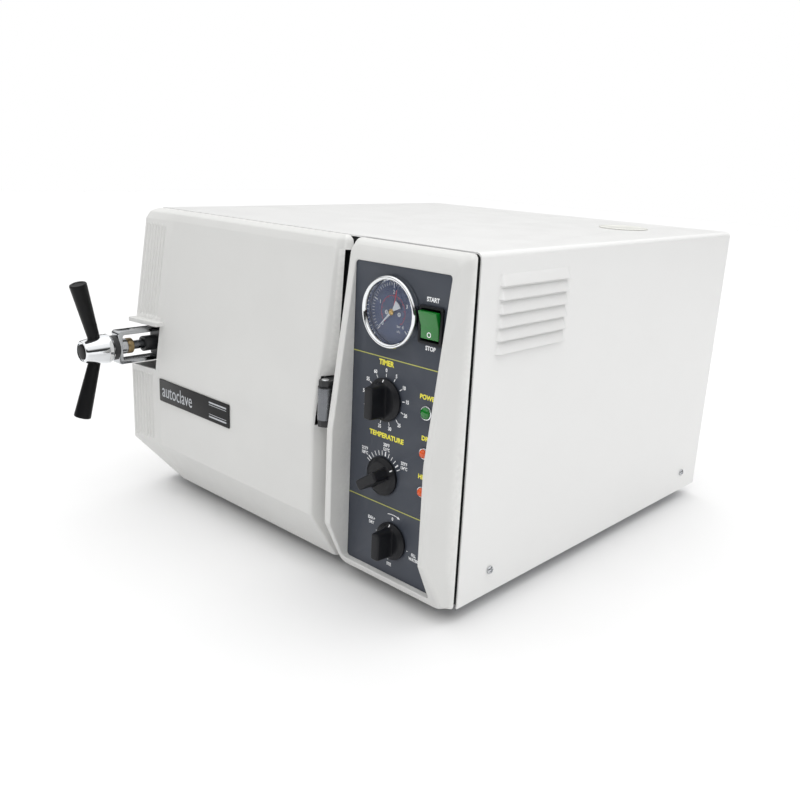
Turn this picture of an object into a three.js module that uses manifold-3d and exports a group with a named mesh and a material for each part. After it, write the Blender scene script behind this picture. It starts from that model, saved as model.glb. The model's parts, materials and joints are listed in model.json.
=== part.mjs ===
// A benchtop steam autoclave: a sheet-metal cabinet with a round pressure chamber, a hinged door with a
// screw-down closing handle, and a control panel to the right of the door.
// Units are millimetres. +X is to the right seen from the front, +Y to the back, +Z up.
// The sub-parts are drawn with Y = 0 at the cabinet's front edge; the exported group moves the whole
// object so that the origin is at the centre of its footprint, on the surface it stands on.

import * as THREE from 'three';
import { ConvexGeometry } from 'three/addons/geometries/ConvexGeometry.js';
import { mergeVertices } from 'three/addons/utils/BufferGeometryUtils.js';
import Module from 'manifold-3d';

const wasm = await Module();
wasm.setup();

// ---------------------------------------------------------------- driving dimensions

const CABINET_WIDTH = 510;
const CABINET_DEPTH = 515;
const CABINET_HEIGHT = 345;
const FOOT_HEIGHT = 15;
const SHEET = 1.5;
const GAP = 0.3;
const BEND_RADIUS = 6;
const CENTRE_Y = 200.7;

const RIGHT = CABINET_WIDTH / 2;
const BOTTOM = FOOT_HEIGHT;
const TOP = FOOT_HEIGHT + CABINET_HEIGHT;

// The door and the control panel share one front profile: a bevel, a vertical band and a leaning face.
const FACE_DEPTH = 41;
const FACE_LIP = 12.5;
const FACE_TOP_LIP = 14.5;
const BAND_BOTTOM = 68;
const BAND_TOP = 168;
const FACE_BACK = -0.5;
const FACE_LOW = BOTTOM + 0.5;
const FACE_HIGH = TOP - 0.7;
const FACE_SHOULDER = TOP - 13;
const SHELL = 3;
const OPEN_BACK = 5;

// Control panel: outline at the cabinet, creases at the front, and the opening in front of the fascia.
const PANEL_LEFT = 100;
const PANEL_RIGHT = 254.5;
const PANEL_BACK = -5;
const PANEL_LIP = 17;
const PANEL_CREASE = { left: 105, right: 243, lipLeft: 108, lipRight: 251.5 };
const WINDOW = { left: 114, right: 236, low: 26, high: 339, radius: 4 };
const FASCIA_FRONT = -14;
const FASCIA_SHEET = 2;
const GAUGE = { x: 164.8, z: 295.7, radius: 34.5, can: 31, proud: 8 };
const SWITCH = { x: 214.3, z: 291, width: 29, height: 35 };
const TIMER = { x: 160, z: 208.5, disc: 21.5, turn: 0 };
const THERMOSTAT = { x: 161, z: 129.5, disc: 20, turn: 55 };
const VALVE = { x: 177, z: 64.5, disc: 19.5, turn: 0 };
const LAMP_X = 214;
const POWER_LAMP_Z = 208;
const DRY_LAMP_Z = 168;
const HEAT_LAMP_Z = 129;
const SHAFT_RADIUS = 3;

// Pressure chamber and its door.
const CHAMBER = { x: -81, z: 194, inner: 127, wall: 2.5, flange: 142, depth: 470 };
const INSULATION_RADIUS = 150;
const DISC_RADIUS = 140;
const DISC_BACK = -2.9;
const DISC_THICKNESS = 8;
const TRAY = { half: 82, rim: 92, front: 35, back: 438, height: 18, sheet: 1.2 };
const RACK_BACK = 444;
const TRAY_LEVELS = { lower: 149.3, upper: 214.3 };

const DOOR_LEFT = -258;
const DOOR_RIGHT = 95;
const DOOR_CREASE_RIGHT = 83.5;
const DOOR_LIP = { left: -201, right: 92.5 };
const STRIP = { right: -205.5, forward: 8.5, forwardTop: 7 };
const NOTCH = { right: -211, low: 165, high: 220 };
const HOOD = { right: -205, frontLeft: -50, frontRight: -43.5, sheet: 5.5 };
const WALL_SLOT = { front: -13.5, high: 349.5 };
const HINGE = { x: 95, y: -34, pin: 4, low: 169, high: 217, jaw: 6, knuckle: 7.5 };
const HINGE_GAP = { left: 85, low: 167.5, high: 218.5 };
const BRIDGE = { front: -29, back: -14, low: 176, high: 212 };
const NECK = { left: 55, bend: 85.5, pocket: 76, stud: 8 };
const BOSS = { radius: 9.5, front: -45 };
const NAMEPLATE = { left: -203, right: -57.5, low: 127.6, high: 155.8, thick: 1.3 };

// Closing screw: it runs along Y at the door's left edge.
const SCREW = { x: -235, z: 194.5, radius: 5.5, tip: -3.2 };
const YOKE = { left: -243.5, right: -226.5, low: 174, high: 215, front: -82, back: -14.5, sheet: 5 };
const BUSH = { radius: 9.5, length: 21 };
const KEEPER = { left: -253, right: -225.8, half: 22, front: -2.3, nut: 10.5 };
const HUB = { back: -90, front: -126.5, wide: 18, narrow: 12.8 };
const GRIP = { root: 7, tip: 10, start: 14, length: 71, lean: 15, turn: 3, y: -105.5 };

// Rear fittings.
const INLET = { x: 165, z: 62, width: 50, height: 28 };
const RELIEF = { x: -185, z: 305, radius: 8 };
const CUTOUT = { x: 95, z: 62, radius: 5 };
const FILLER = { x: 165, y: 400, radius: 22 };
const TANK = { left: 84, right: 240, front: 200, back: 490, low: 228.8, high: 342, wall: 2.5 };

const SADDLE = { left: -200, front: 110, back: 430, sheet: 2, high: 70, shelfBack: 498 };
const WIRE_WAY = { left: 110, right: 210, low: 40, high: 190 };
const CONTROL_MOUTH = { left: 110, right: 240, low: 30, high: 344 };
const VENT = { count: 6, left: 130, right: 210, lowest: 116, pitch: 16, height: 5 };

const COVER_SCREWS = { front: 48.7, rear: 470.4, z: 41, hole: 2.6 };
const LOUVRE = { count: 6, front: 28, back: 143, lowest: 266, pitch: 12.65, proud: 4, rise: 10.5 };

const ROUND = 20;
const LARGE_ROUND = 40;

// ---------------------------------------------------------------- geometry helpers

// A closed mesh as a solid that can be joined and cut; its faces are turned outwards if need be.
function solid(geometry) {
  const bare = geometry.clone();
  bare.deleteAttribute('normal');
  bare.deleteAttribute('uv');
  const merged = mergeVertices(bare, 1e-4);
  const corners = merged.index.array;
  const kept = [];
  for (let i = 0; i < corners.length; i += 3) {
    const [a, b, c] = corners.slice(i, i + 3);
    if (a !== b && b !== c && c !== a) kept.push(a, b, c);
  }
  const vertProperties = Float32Array.from(merged.attributes.position.array);
  const triVerts = Uint32Array.from(kept);
  if (signedVolume(vertProperties, triVerts) < 0) triVerts.reverse();
  return new wasm.Manifold(new wasm.Mesh({ numProp: 3, vertProperties, triVerts }));
}

function signedVolume(points, triangles) {
  const corner = (i) => new THREE.Vector3().fromArray(points, 3 * triangles[i]);
  let volume = 0;
  for (let i = 0; i < triangles.length; i += 3) {
    volume += corner(i).dot(corner(i + 1).cross(corner(i + 2))) / 6;
  }
  return volume;
}

function joined(first, ...others) {
  return others.reduce((sum, next) => sum.add(next), first);
}

function cut(first, ...others) {
  return others.reduce((rest, next) => rest.subtract(next), first);
}

function surface(shape) {
  const { vertProperties, triVerts, numProp } = shape.getMesh();
  const geometry = new THREE.BufferGeometry();
  const points = new Float32Array((vertProperties.length / numProp) * 3);
  for (let i = 0; i < points.length / 3; i += 1) {
    for (let k = 0; k < 3; k += 1) points[3 * i + k] = vertProperties[numProp * i + k];
  }
  geometry.setAttribute('position', new THREE.BufferAttribute(points, 3));
  geometry.setIndex(new THREE.BufferAttribute(Uint32Array.from(triVerts), 1));
  geometry.computeVertexNormals();
  return geometry;
}

function block(low, high) {
  const size = low.map((value, k) => high[k] - value);
  const geometry = new THREE.BoxGeometry(...size);
  return solid(geometry.translate(...low.map((value, k) => value + size[k] / 2)));
}

// Round bars along each axis, between two places on that axis.
function barY(radius, from, to, x, z, sides = ROUND) {
  const geometry = new THREE.CylinderGeometry(radius, radius, to - from, sides);
  return solid(geometry.translate(x, (from + to) / 2, z));
}

function barX(radius, from, to, y, z, sides = ROUND) {
  const geometry = new THREE.CylinderGeometry(radius, radius, to - from, sides);
  return solid(geometry.rotateZ(Math.PI / 2).translate((from + to) / 2, y, z));
}

function barZ(radius, from, to, x, y, sides = ROUND) {
  const geometry = new THREE.CylinderGeometry(radius, radius, to - from, sides);
  return solid(geometry.rotateX(Math.PI / 2).translate(x, y, (from + to) / 2));
}

// A turned shape about a line along Y through (x, z). The profile lists [radius, y].
function turnedY(profile, x, z, sides = ROUND) {
  const points = profile.map(([radius, y]) => new THREE.Vector2(radius, y));
  return solid(new THREE.LatheGeometry(points, sides).translate(x, 0, z));
}

// A turned shape about a line along Z through (x, y). The profile lists [radius, z].
function turnedZ(profile, x, y, sides = ROUND) {
  const points = profile.map(([radius, z]) => new THREE.Vector2(radius, z));
  return solid(new THREE.LatheGeometry(points, sides).rotateX(Math.PI / 2).translate(x, y, 0));
}

function ring(inner, outer, from, to) {
  return [[inner, from], [outer, from], [outer, to], [inner, to], [inner, from]];
}

function outline(points) {
  return new THREE.Shape(points.map(([a, b]) => new THREE.Vector2(a, b)));
}

function roundedOutline(left, low, right, high, radius) {
  const quarter = Math.PI / 2;
  const shape = new THREE.Shape();
  shape.moveTo(left + radius, low);
  shape.lineTo(right - radius, low);
  shape.absarc(right - radius, low + radius, radius, -quarter, 0);
  shape.lineTo(right, high - radius);
  shape.absarc(right - radius, high - radius, radius, 0, quarter);
  shape.lineTo(left + radius, high);
  shape.absarc(left + radius, high - radius, radius, quarter, 2 * quarter);
  shape.lineTo(left, low + radius);
  shape.absarc(left + radius, low + radius, radius, 2 * quarter, 3 * quarter);
  return shape;
}

function roundHole(x, z, radius, sides = ROUND) {
  const points = [];
  for (let i = 0; i < sides; i += 1) {
    const angle = (2 * Math.PI * i) / sides;
    points.push(new THREE.Vector2(x + radius * Math.cos(angle), z + radius * Math.sin(angle)));
  }
  return new THREE.Path(points);
}

function extruded(shape, depth, curveSegments) {
  return new THREE.ExtrudeGeometry(shape, { depth, curveSegments, bevelEnabled: false });
}

// Outlines pushed along an axis: an (x, z) outline along Y, a (y, z) one along X, an (x, y) one along Z.
function platesY(shape, from, to, curveSegments = 2) {
  const turn = new THREE.Matrix4().makeBasis(
    new THREE.Vector3(1, 0, 0),
    new THREE.Vector3(0, 0, 1),
    new THREE.Vector3(0, -1, 0),
  );
  return solid(extruded(shape, to - from, curveSegments).applyMatrix4(turn).translate(0, to, 0));
}

function platesX(shape, from, to, curveSegments = 2) {
  const turn = new THREE.Matrix4().makeBasis(
    new THREE.Vector3(0, 1, 0),
    new THREE.Vector3(0, 0, 1),
    new THREE.Vector3(1, 0, 0),
  );
  return solid(extruded(shape, to - from, curveSegments).applyMatrix4(turn).translate(from, 0, 0));
}

function platesZ(shape, from, to, curveSegments = 2) {
  return solid(extruded(shape, to - from, curveSegments).translate(0, 0, from));
}

function tube(route, radius, sides, steps) {
  const corners = [];
  for (let i = 0; i < sides; i += 1) {
    const angle = (2 * Math.PI * i) / sides;
    corners.push([radius * Math.cos(angle), radius * Math.sin(angle)]);
  }
  const path = new THREE.CatmullRomCurve3(route.map((point) => new THREE.Vector3(...point)));
  const options = { steps, extrudePath: path, bevelEnabled: false };
  return solid(new THREE.ExtrudeGeometry(outline(corners), options));
}

function hull(points) {
  return solid(new ConvexGeometry(points.map((point) => new THREE.Vector3(...point))));
}

const parts = new THREE.Group();
parts.position.y = -CENTRE_Y;

function add(name, shape, material) {
  const mesh = new THREE.Mesh(surface(shape), new THREE.MeshStandardMaterial(material));
  mesh.name = name;
  parts.add(mesh);
}

// ---------------------------------------------------------------- materials

const WHITE_PAINT = { color: 0xf2f2f0, roughness: 0.45, metalness: 0 };
const GREY_PLASTIC = { color: 0xdcdcda, roughness: 0.5, metalness: 0 };
const BARE_STEEL = { color: 0xb9bcc0, roughness: 0.35, metalness: 1 };
const POLISHED_STEEL = { color: 0xd6d8da, roughness: 0.12, metalness: 1 };
const CHROME = { color: 0xe4e6e8, roughness: 0.08, metalness: 1 };
const BLACK_PLASTIC = { color: 0x16171a, roughness: 0.45, metalness: 0 };
const BLACK_PAINT = { color: 0x1c1d1f, roughness: 0.5, metalness: 0 };
const FASCIA_FINISH = { color: 0x3b3f48, roughness: 0.5, metalness: 0 };
const RUBBER = { color: 0x232323, roughness: 0.85, metalness: 0 };
const SILICONE = { color: 0xcfc9bd, roughness: 0.7, metalness: 0 };
const BRASS = { color: 0xb79a55, roughness: 0.3, metalness: 1 };
const COPPER = { color: 0xb87650, roughness: 0.35, metalness: 1 };
const FIBRE_WOOL = { color: 0xd8d2b8, roughness: 0.95, metalness: 0 };
const WHITE_PLASTIC = { color: 0xeeeeec, roughness: 0.5, metalness: 0 };
const CLEAR_GLASS = { color: 0xffffff, roughness: 0.05, metalness: 0, transparent: true, opacity: 0.25 };
const GREEN_LENS = { color: 0x1f9a3a, roughness: 0.2, metalness: 0 };
const ORANGE_LENS = { color: 0xe8602a, roughness: 0.2, metalness: 0 };
const RED_PLASTIC = { color: 0xb3221e, roughness: 0.4, metalness: 0 };

// ---------------------------------------------------------------- cabinet

function basePan() {
  const outer = RIGHT - SHEET - 0.4;
  const wall = outer - SHEET;
  const floor = BOTTOM + SHEET;
  const lip = 50;
  const section = outline([
    [-outer, BOTTOM], [outer, BOTTOM], [outer, lip], [wall, lip],
    [wall, floor], [-wall, floor], [-wall, lip], [-outer, lip],
  ]);
  const pan = platesY(section, 14.5, CABINET_DEPTH - 14.5);
  return cut(pan, ...coverScrewBars(COVER_SCREWS.hole));
}

function coverScrewBars(radius) {
  return [COVER_SCREWS.front, COVER_SCREWS.rear].flatMap((y) => [
    barX(radius, -RIGHT - 2, -RIGHT + 8, y, COVER_SCREWS.z, 12),
    barX(radius, RIGHT - 8, RIGHT + 2, y, COVER_SCREWS.z, 12),
  ]);
}

function coverSection() {
  const quarter = Math.PI / 2;
  const inside = RIGHT - SHEET;
  const shape = new THREE.Shape();
  shape.moveTo(RIGHT, BOTTOM);
  shape.lineTo(RIGHT, TOP - BEND_RADIUS);
  shape.absarc(RIGHT - BEND_RADIUS, TOP - BEND_RADIUS, BEND_RADIUS, 0, quarter);
  shape.lineTo(-RIGHT + BEND_RADIUS, TOP);
  shape.absarc(-RIGHT + BEND_RADIUS, TOP - BEND_RADIUS, BEND_RADIUS, quarter, 2 * quarter);
  shape.lineTo(-RIGHT, BOTTOM);
  shape.lineTo(-inside, BOTTOM);
  shape.lineTo(-inside, TOP - BEND_RADIUS);
  shape.absarc(-RIGHT + BEND_RADIUS, TOP - BEND_RADIUS, BEND_RADIUS - SHEET, 2 * quarter, quarter, true);
  shape.lineTo(RIGHT - BEND_RADIUS, TOP - SHEET);
  shape.absarc(RIGHT - BEND_RADIUS, TOP - BEND_RADIUS, BEND_RADIUS - SHEET, quarter, 0, true);
  shape.lineTo(inside, BOTTOM);
  return shape;
}

// One pressed louvre on the side wall: a hooded slot that opens downwards. side is +1 or -1.
function louvre(side, low) {
  const face = side * RIGHT;
  const hood = outline([
    [face - side * 0.5, low], [face + side * LOUVRE.proud, low], [face - side * 0.5, low + LOUVRE.rise],
  ]);
  const slot = outline([
    [face - side * 4, low - 0.5],
    [face + side * (LOUVRE.proud - 1.3), low - 0.5],
    [face - side * 4, low + LOUVRE.rise + 2],
  ]);
  return {
    hood: platesY(hood, LOUVRE.front, LOUVRE.back),
    slot: platesY(slot, LOUVRE.front + 1.5, LOUVRE.back - 1.5),
  };
}

function outerCover() {
  let cover = platesY(coverSection(), 0, CABINET_DEPTH);
  for (const side of [-1, 1]) {
    for (let i = 0; i < LOUVRE.count; i += 1) {
      const { hood, slot } = louvre(side, LOUVRE.lowest + i * LOUVRE.pitch);
      cover = cover.add(hood).subtract(slot);
    }
  }
  const filler = barZ(FILLER.radius + 1.5, TOP - 10, TOP + 10, FILLER.x, FILLER.y);
  return cut(cover, filler, ...coverScrewBars(COVER_SCREWS.hole));
}

// A flat panel with a turned-back rim, as the front frame and the rear panel both are.
function rimmedPanel(holes, front, back, rimFront, rimBack) {
  const edge = RIGHT - SHEET - 0.7;
  const low = BOTTOM + 2;
  const high = TOP - SHEET - 1;
  const face = roundedOutline(-edge, low, edge, high, 4);
  face.holes.push(...holes);
  const rim = roundedOutline(-edge, low, edge, high, 4);
  rim.holes.push(roundedOutline(-edge + SHEET, low + SHEET, edge - SHEET, high - SHEET, 3));
  return joined(platesY(face, front, back), platesY(rim, rimFront, rimBack));
}

function frontFrame() {
  const mouth = roundHole(CHAMBER.x, CHAMBER.z, CHAMBER.flange + 1.5, LARGE_ROUND);
  const { left, right, low, high } = CONTROL_MOUTH;
  const controls = roundedOutline(left, low, right, high, 5);
  return rimmedPanel([mouth, controls], 2, 4, 3.5, 14);
}

function rearPanel() {
  const back = CABINET_DEPTH - 2;
  const inlet = roundedOutline(
    INLET.x - INLET.width / 2 + 2, INLET.z - INLET.height / 2 + 2,
    INLET.x + INLET.width / 2 - 2, INLET.z + INLET.height / 2 - 2, 0.5,
  );
  const holes = [
    inlet,
    roundHole(RELIEF.x, RELIEF.z, RELIEF.radius + 0.5),
    roundHole(CUTOUT.x, CUTOUT.z, CUTOUT.radius + 3.5),
  ];
  for (let i = 0; i < VENT.count; i += 1) {
    const low = VENT.lowest + VENT.pitch * i;
    holes.push(roundedOutline(VENT.left, low, VENT.right, low + VENT.height, 2.4));
  }
  return rimmedPanel(holes, back - 2, back, back - 12, back - 1.5);
}

function foot(x, y) {
  const profile = [[0, 0], [14, 0], [15.5, 2], [17, FOOT_HEIGHT - GAP], [0, FOOT_HEIGHT - GAP]];
  return turnedZ(profile, x, y, 20);
}

function coverScrew(side, y) {
  const profile = [[0, 0], [2.1, 0], [2.1, 8.5], [4.4, 8.5], [4.4, 9.8], [3, 11.2], [0, 11.4]];
  const points = profile.map(([radius, along]) => new THREE.Vector2(radius, along));
  const geometry = new THREE.LatheGeometry(points, 12);
  geometry.rotateZ((-side * Math.PI) / 2);
  return solid(geometry.translate(side * (RIGHT + GAP - 8.5), y, COVER_SCREWS.z));
}

// Saddles under the chamber, carried on up as the stand of the water tank.
function innerFrame() {
  const { left, front, back, sheet, high } = SADDLE;
  const floor = BOTTOM + SHEET + GAP;
  const tankSide = TANK.left - 4;
  const shelf = TANK.low - GAP;
  const saddle = outline([
    [left, floor], [TANK.right, floor], [TANK.right, shelf], [tankSide, shelf], [tankSide, high],
    [left, high],
  ]);
  const room = barY(INSULATION_RADIUS + GAP, 60, 480, CHAMBER.x, CHAMBER.z, LARGE_ROUND);
  const frame = joined(
    platesY(saddle, front, front + sheet),
    platesY(saddle, back, back + sheet),
    block([tankSide, front, shelf - sheet], [TANK.right, SADDLE.shelfBack, shelf]),
    block([left, front, floor], [left + 20, back + sheet, floor + sheet]),
    block([tankSide - 20, front, floor], [tankSide, back + sheet, floor + sheet]),
  );
  const way = block([WIRE_WAY.left, front - 10, WIRE_WAY.low], [WIRE_WAY.right, back + 70, WIRE_WAY.high]);
  return cut(frame, room, way);
}

// ---------------------------------------------------------------- chamber

function elementLegs() {
  return [CHAMBER.x - 48, CHAMBER.x + 48];
}

function chamber() {
  const outer = CHAMBER.inner + CHAMBER.wall;
  const back = CHAMBER.depth;
  const profile = [
    [0, back + 2], [80, back + 2], [116, back - 5], [outer, back - 22], [outer, 10], [CHAMBER.flange, 10],
    [CHAMBER.flange, 0], [CHAMBER.inner, 0], [CHAMBER.inner, back - 23], [114, back - 7.5],
    [79, back - 0.5], [0, back - 0.5],
  ];
  const vessel = turnedY(profile, CHAMBER.x, CHAMBER.z, LARGE_ROUND);
  const glands = elementLegs().map((x) => barY(4.6, back - 30, back + 30, x, 120, 12));
  return cut(vessel, ...glands);
}

function chamberInsulation() {
  const inner = CHAMBER.inner + CHAMBER.wall + 1;
  return turnedY(ring(inner, INSULATION_RADIUS, 20, CHAMBER.depth - 5), CHAMBER.x, CHAMBER.z, LARGE_ROUND);
}

// The heating element comes in through the back wall, drops to the floor and loops forward.
function heatingElement() {
  const [left, right] = elementLegs();
  const back = CHAMBER.depth;
  const low = 87;
  const route = [
    [left, back + 14, 120], [left, back - 12, 120], [left, back - 34, 112], [left, back - 50, low + 3],
    [left, back - 90, low], [left, 250, low], [left, 90, low], [left + 12, 55, low],
    [CHAMBER.x, 42, low], [right - 12, 55, low], [right, 90, low], [right, 250, low],
    [right, back - 90, low], [right, back - 50, low + 3], [right, back - 34, 112],
    [right, back - 12, 120], [right, back + 14, 120],
  ];
  return tube(route, 4, 6, 52);
}

function trayRack() {
  const reach = TRAY.rim + 3.5;
  const side = (sign) => {
    const from = CHAMBER.x + sign * (reach - 2);
    const to = CHAMBER.x + sign * reach;
    const inner = CHAMBER.x + sign * (TRAY.half + 2);
    const [x0, x1] = [Math.min(from, to), Math.max(from, to)];
    const [l0, l1] = [Math.min(inner, to), Math.max(inner, to)];
    const ledges = Object.values(TRAY_LEVELS).map((level) => {
      const top = level - GAP;
      return block([l0, 30, top - 2], [l1, RACK_BACK, top]);
    });
    return joined(block([x0, 30, CHAMBER.z - 82], [x1, RACK_BACK, CHAMBER.z + 52]), ...ledges);
  };
  const strips = [30, 385].map((y) => {
    const low = [CHAMBER.x - reach, y, CHAMBER.z - 82];
    return block(low, [CHAMBER.x + reach, y + 20, CHAMBER.z - 80]);
  });
  return joined(side(-1), side(1), ...strips);
}

function tray(level) {
  const left = CHAMBER.x - TRAY.half;
  const right = CHAMBER.x + TRAY.half;
  const low = level - TRAY.height;
  const rimTop = level + TRAY.sheet;
  const body = block([left, TRAY.front, low], [right, TRAY.back, rimTop]);
  const rim = block(
    [CHAMBER.x - TRAY.rim + 1, TRAY.front, level], [CHAMBER.x + TRAY.rim - 1, TRAY.back, rimTop],
  );
  const inside = block(
    [left + TRAY.sheet, TRAY.front + TRAY.sheet, low + TRAY.sheet],
    [right - TRAY.sheet, TRAY.back - TRAY.sheet, rimTop + 5],
  );
  return cut(joined(body, rim), inside);
}

// ---------------------------------------------------------------- water tank and rear fittings

function waterReservoir() {
  const { left, right, front, back, low, high, wall } = TANK;
  const tank = block([left, front, low], [right, back, high]);
  const neck = barZ(FILLER.radius, high - 1, TOP - 0.4, FILLER.x, FILLER.y);
  const inside = block([left + wall, front + wall, low + wall], [right - wall, back - wall, high - wall]);
  const throat = barZ(FILLER.radius - 2, high - 10, TOP + 5, FILLER.x, FILLER.y);
  const outlet = barY(3.5, front - 5, front + 10, FILLER.x, low + 14, 12);
  return cut(joined(tank, neck), inside, throat, outlet);
}

function reservoirLid() {
  const cap = FILLER.radius + 8;
  const plug = FILLER.radius - 3;
  const low = TOP + GAP;
  const profile = [
    [0, TOP - 12], [plug, TOP - 12], [plug, low], [cap, low], [cap, low + 0.9], [cap - 1, low + 1.5],
    [0, low + 1.5],
  ];
  return turnedZ(profile, FILLER.x, FILLER.y, 32);
}

function safetyValve() {
  const wall = CABINET_DEPTH - 2;
  const profile = [
    [2.6, wall - 25], [RELIEF.radius, wall - 25], [RELIEF.radius, wall + GAP], [11, wall + GAP],
    [11, wall + 4], [7, wall + 5], [7, wall + 8], [2.6, wall + 8], [2.6, wall - 25],
  ];
  return turnedY(profile, RELIEF.x, RELIEF.z, 20);
}

function safetyValveRing() {
  const centre = CABINET_DEPTH + 14.5;
  const hoop = new THREE.TorusGeometry(7, 1.5, 6, 16);
  hoop.rotateY(Math.PI / 2).translate(RELIEF.x, centre, RELIEF.z);
  const stem = barY(2.1, CABINET_DEPTH - 20, centre - 6.5, RELIEF.x, RELIEF.z, 12);
  return joined(solid(hoop), stem);
}

function thermalCutout() {
  const wall = CABINET_DEPTH - 2;
  const bore = CUTOUT.radius + 0.4;
  const profile = [
    [0, wall - 32], [14, wall - 32], [14, wall - 2.5], [8, wall - 2.5], [8, wall + 2.5],
    [bore, wall + 2.5], [bore, wall - 12], [0, wall - 12],
  ];
  return turnedY(profile, CUTOUT.x, CUTOUT.z, 20);
}

function resetButton() {
  const wall = CABINET_DEPTH - 2;
  const profile = [
    [0, wall - 8], [CUTOUT.radius, wall - 8], [CUTOUT.radius, wall + 5.4], [CUTOUT.radius - 0.8, wall + 6.2],
    [0, wall + 6.2],
  ];
  return turnedY(profile, CUTOUT.x, CUTOUT.z, 20);
}

function powerInlet() {
  const wall = CABINET_DEPTH - 2;
  const { x, z, width, height } = INLET;
  const half = [width / 2, height / 2];
  const flange = block([x - half[0], wall + GAP, z - half[1]], [x + half[0], wall + 3, z + half[1]]);
  const body = block(
    [x - half[0] + 2.5, wall - 24, z - half[1] + 2.5], [x + half[0] - 2.5, wall + 1, z + half[1] - 2.5],
  );
  const socket = block([x - 12.5, wall - 15, z - 8.5], [x + 12.5, wall + 10, z + 8.5]);
  const pins = [[-7, -1.5], [0, 3], [7, -1.5]].map(([dx, dz]) => {
    const low = [x + dx - 1, wall - 17, z + dz - 2];
    return block(low, [x + dx + 1, wall - 1, z + dz + 2]);
  });
  return joined(cut(joined(flange, body), socket), ...pins);
}

// ---------------------------------------------------------------- front face

// Points [y, z] of the front profile from the bottom up, moved inwards by inset.
function faceProfile(inset = 0) {
  return [
    [-FACE_LIP + inset, FACE_LOW + inset],
    [-FACE_DEPTH + inset, BAND_BOTTOM + inset / 2],
    [-FACE_DEPTH + inset, BAND_TOP],
    [-FACE_TOP_LIP + inset, FACE_SHOULDER - inset / 2],
    [-11.5 + inset, TOP - 4.6 - inset],
    [-6, FACE_HIGH - inset],
  ];
}

function faceDepthAt(z) {
  const t = (z - BAND_TOP) / (FACE_SHOULDER - BAND_TOP);
  return t < 0 ? -FACE_DEPTH : -FACE_DEPTH + t * (FACE_DEPTH - FACE_TOP_LIP);
}

function bezelHull(inset) {
  const points = [];
  const [, ...rest] = faceProfile(inset);
  for (const [y, z] of rest) {
    points.push([PANEL_CREASE.left + inset, y, z], [PANEL_CREASE.right - inset, y, z]);
  }
  for (const x of [PANEL_CREASE.lipLeft + inset, PANEL_CREASE.lipRight - inset]) {
    points.push([x, -PANEL_LIP + inset, FACE_LOW + inset]);
  }
  const high = FACE_HIGH - inset;
  for (const y of [PANEL_BACK - 2, inset ? OPEN_BACK : PANEL_BACK]) {
    points.push([PANEL_LEFT + inset, y, FACE_LOW + inset], [PANEL_RIGHT - inset, y, FACE_LOW + inset]);
    points.push([PANEL_LEFT + inset, y, high - 8], [PANEL_LEFT + 10 + inset, y, high]);
    points.push([PANEL_RIGHT - inset, y, high - 4], [PANEL_RIGHT - 4 - inset, y, high]);
  }
  return hull(points);
}

function panelBezel() {
  const { left, right, low, high, radius } = WINDOW;
  const opening = platesY(roundedOutline(left, low, right, high, radius), -60, 0, 4);
  const pocket = block([left - 3.5, FASCIA_FRONT - GAP, low - 6], [right + 3.5, OPEN_BACK, high + 2]);
  return cut(bezelHull(0), bezelHull(SHELL), opening, pocket);
}

function fasciaPlate() {
  const { left, right, low, high } = WINDOW;
  const shape = roundedOutline(left - 3, low - 5.5, right + 3, high + 1.5, 2);
  const half = [SWITCH.width / 2 - 1.2, SWITCH.height / 2 - 1.2];
  shape.holes.push(
    roundHole(GAUGE.x, GAUGE.z, GAUGE.can + 0.6),
    roundedOutline(SWITCH.x - half[0], SWITCH.z - half[1], SWITCH.x + half[0], SWITCH.z + half[1], 1),
  );
  for (const { x, z } of [TIMER, THERMOSTAT, VALVE]) {
    shape.holes.push(roundHole(x, z, SHAFT_RADIUS + 0.8));
  }
  for (const z of [POWER_LAMP_Z, DRY_LAMP_Z, HEAT_LAMP_Z]) {
    shape.holes.push(roundHole(LAMP_X, z, 4.8));
  }
  return platesY(shape, FASCIA_FRONT, FASCIA_FRONT + FASCIA_SHEET);
}

// ---------------------------------------------------------------- pressure gauge

function gaugeCase() {
  const face = FASCIA_FRONT - GAP;
  const front = FASCIA_FRONT - GAUGE.proud;
  const floor = FASCIA_FRONT + 2.2;
  const rim = GAUGE.radius;
  const profile = [
    [0, 32], [6, 32], [6, 24], [GAUGE.can, 24], [GAUGE.can, face], [rim, face], [rim, front + 2],
    [rim - 2, front], [rim - 4, front + 0.6], [rim - 4.5, front + 2], [rim - 4.5, floor], [0, floor],
  ];
  return turnedY(profile, GAUGE.x, GAUGE.z, 36);
}

function gaugeDial() {
  return barY(GAUGE.radius - 4.9, FASCIA_FRONT + 0.9, FASCIA_FRONT + 1.9, GAUGE.x, GAUGE.z, 36);
}

// The pointer stands on zero, at the lower left of the dial.
function gaugeNeedle() {
  const turn = (5 * Math.PI) / 4;
  const along = new THREE.Vector2(Math.cos(turn), Math.sin(turn));
  const across = new THREE.Vector2(-along.y, along.x);
  const place = ([u, v]) => [
    GAUGE.x + u * along.x + v * across.x, GAUGE.z + u * along.y + v * across.y,
  ];
  const pointer = outline([[24, 0], [0, 1.6], [-9, 1.2], [-9, -1.2], [0, -1.6]].map(place));
  const blade = platesY(pointer, FASCIA_FRONT - 1.9, FASCIA_FRONT - 1.2);
  return joined(blade, barY(2.6, FASCIA_FRONT - 3, FASCIA_FRONT + 0.4, GAUGE.x, GAUGE.z, 16));
}

function gaugeGlass() {
  const front = FASCIA_FRONT - GAUGE.proud + 2.2;
  return barY(GAUGE.radius - 4.8, front, front + 1.5, GAUGE.x, GAUGE.z, 36);
}

// ---------------------------------------------------------------- switch, knobs and lamps

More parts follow.
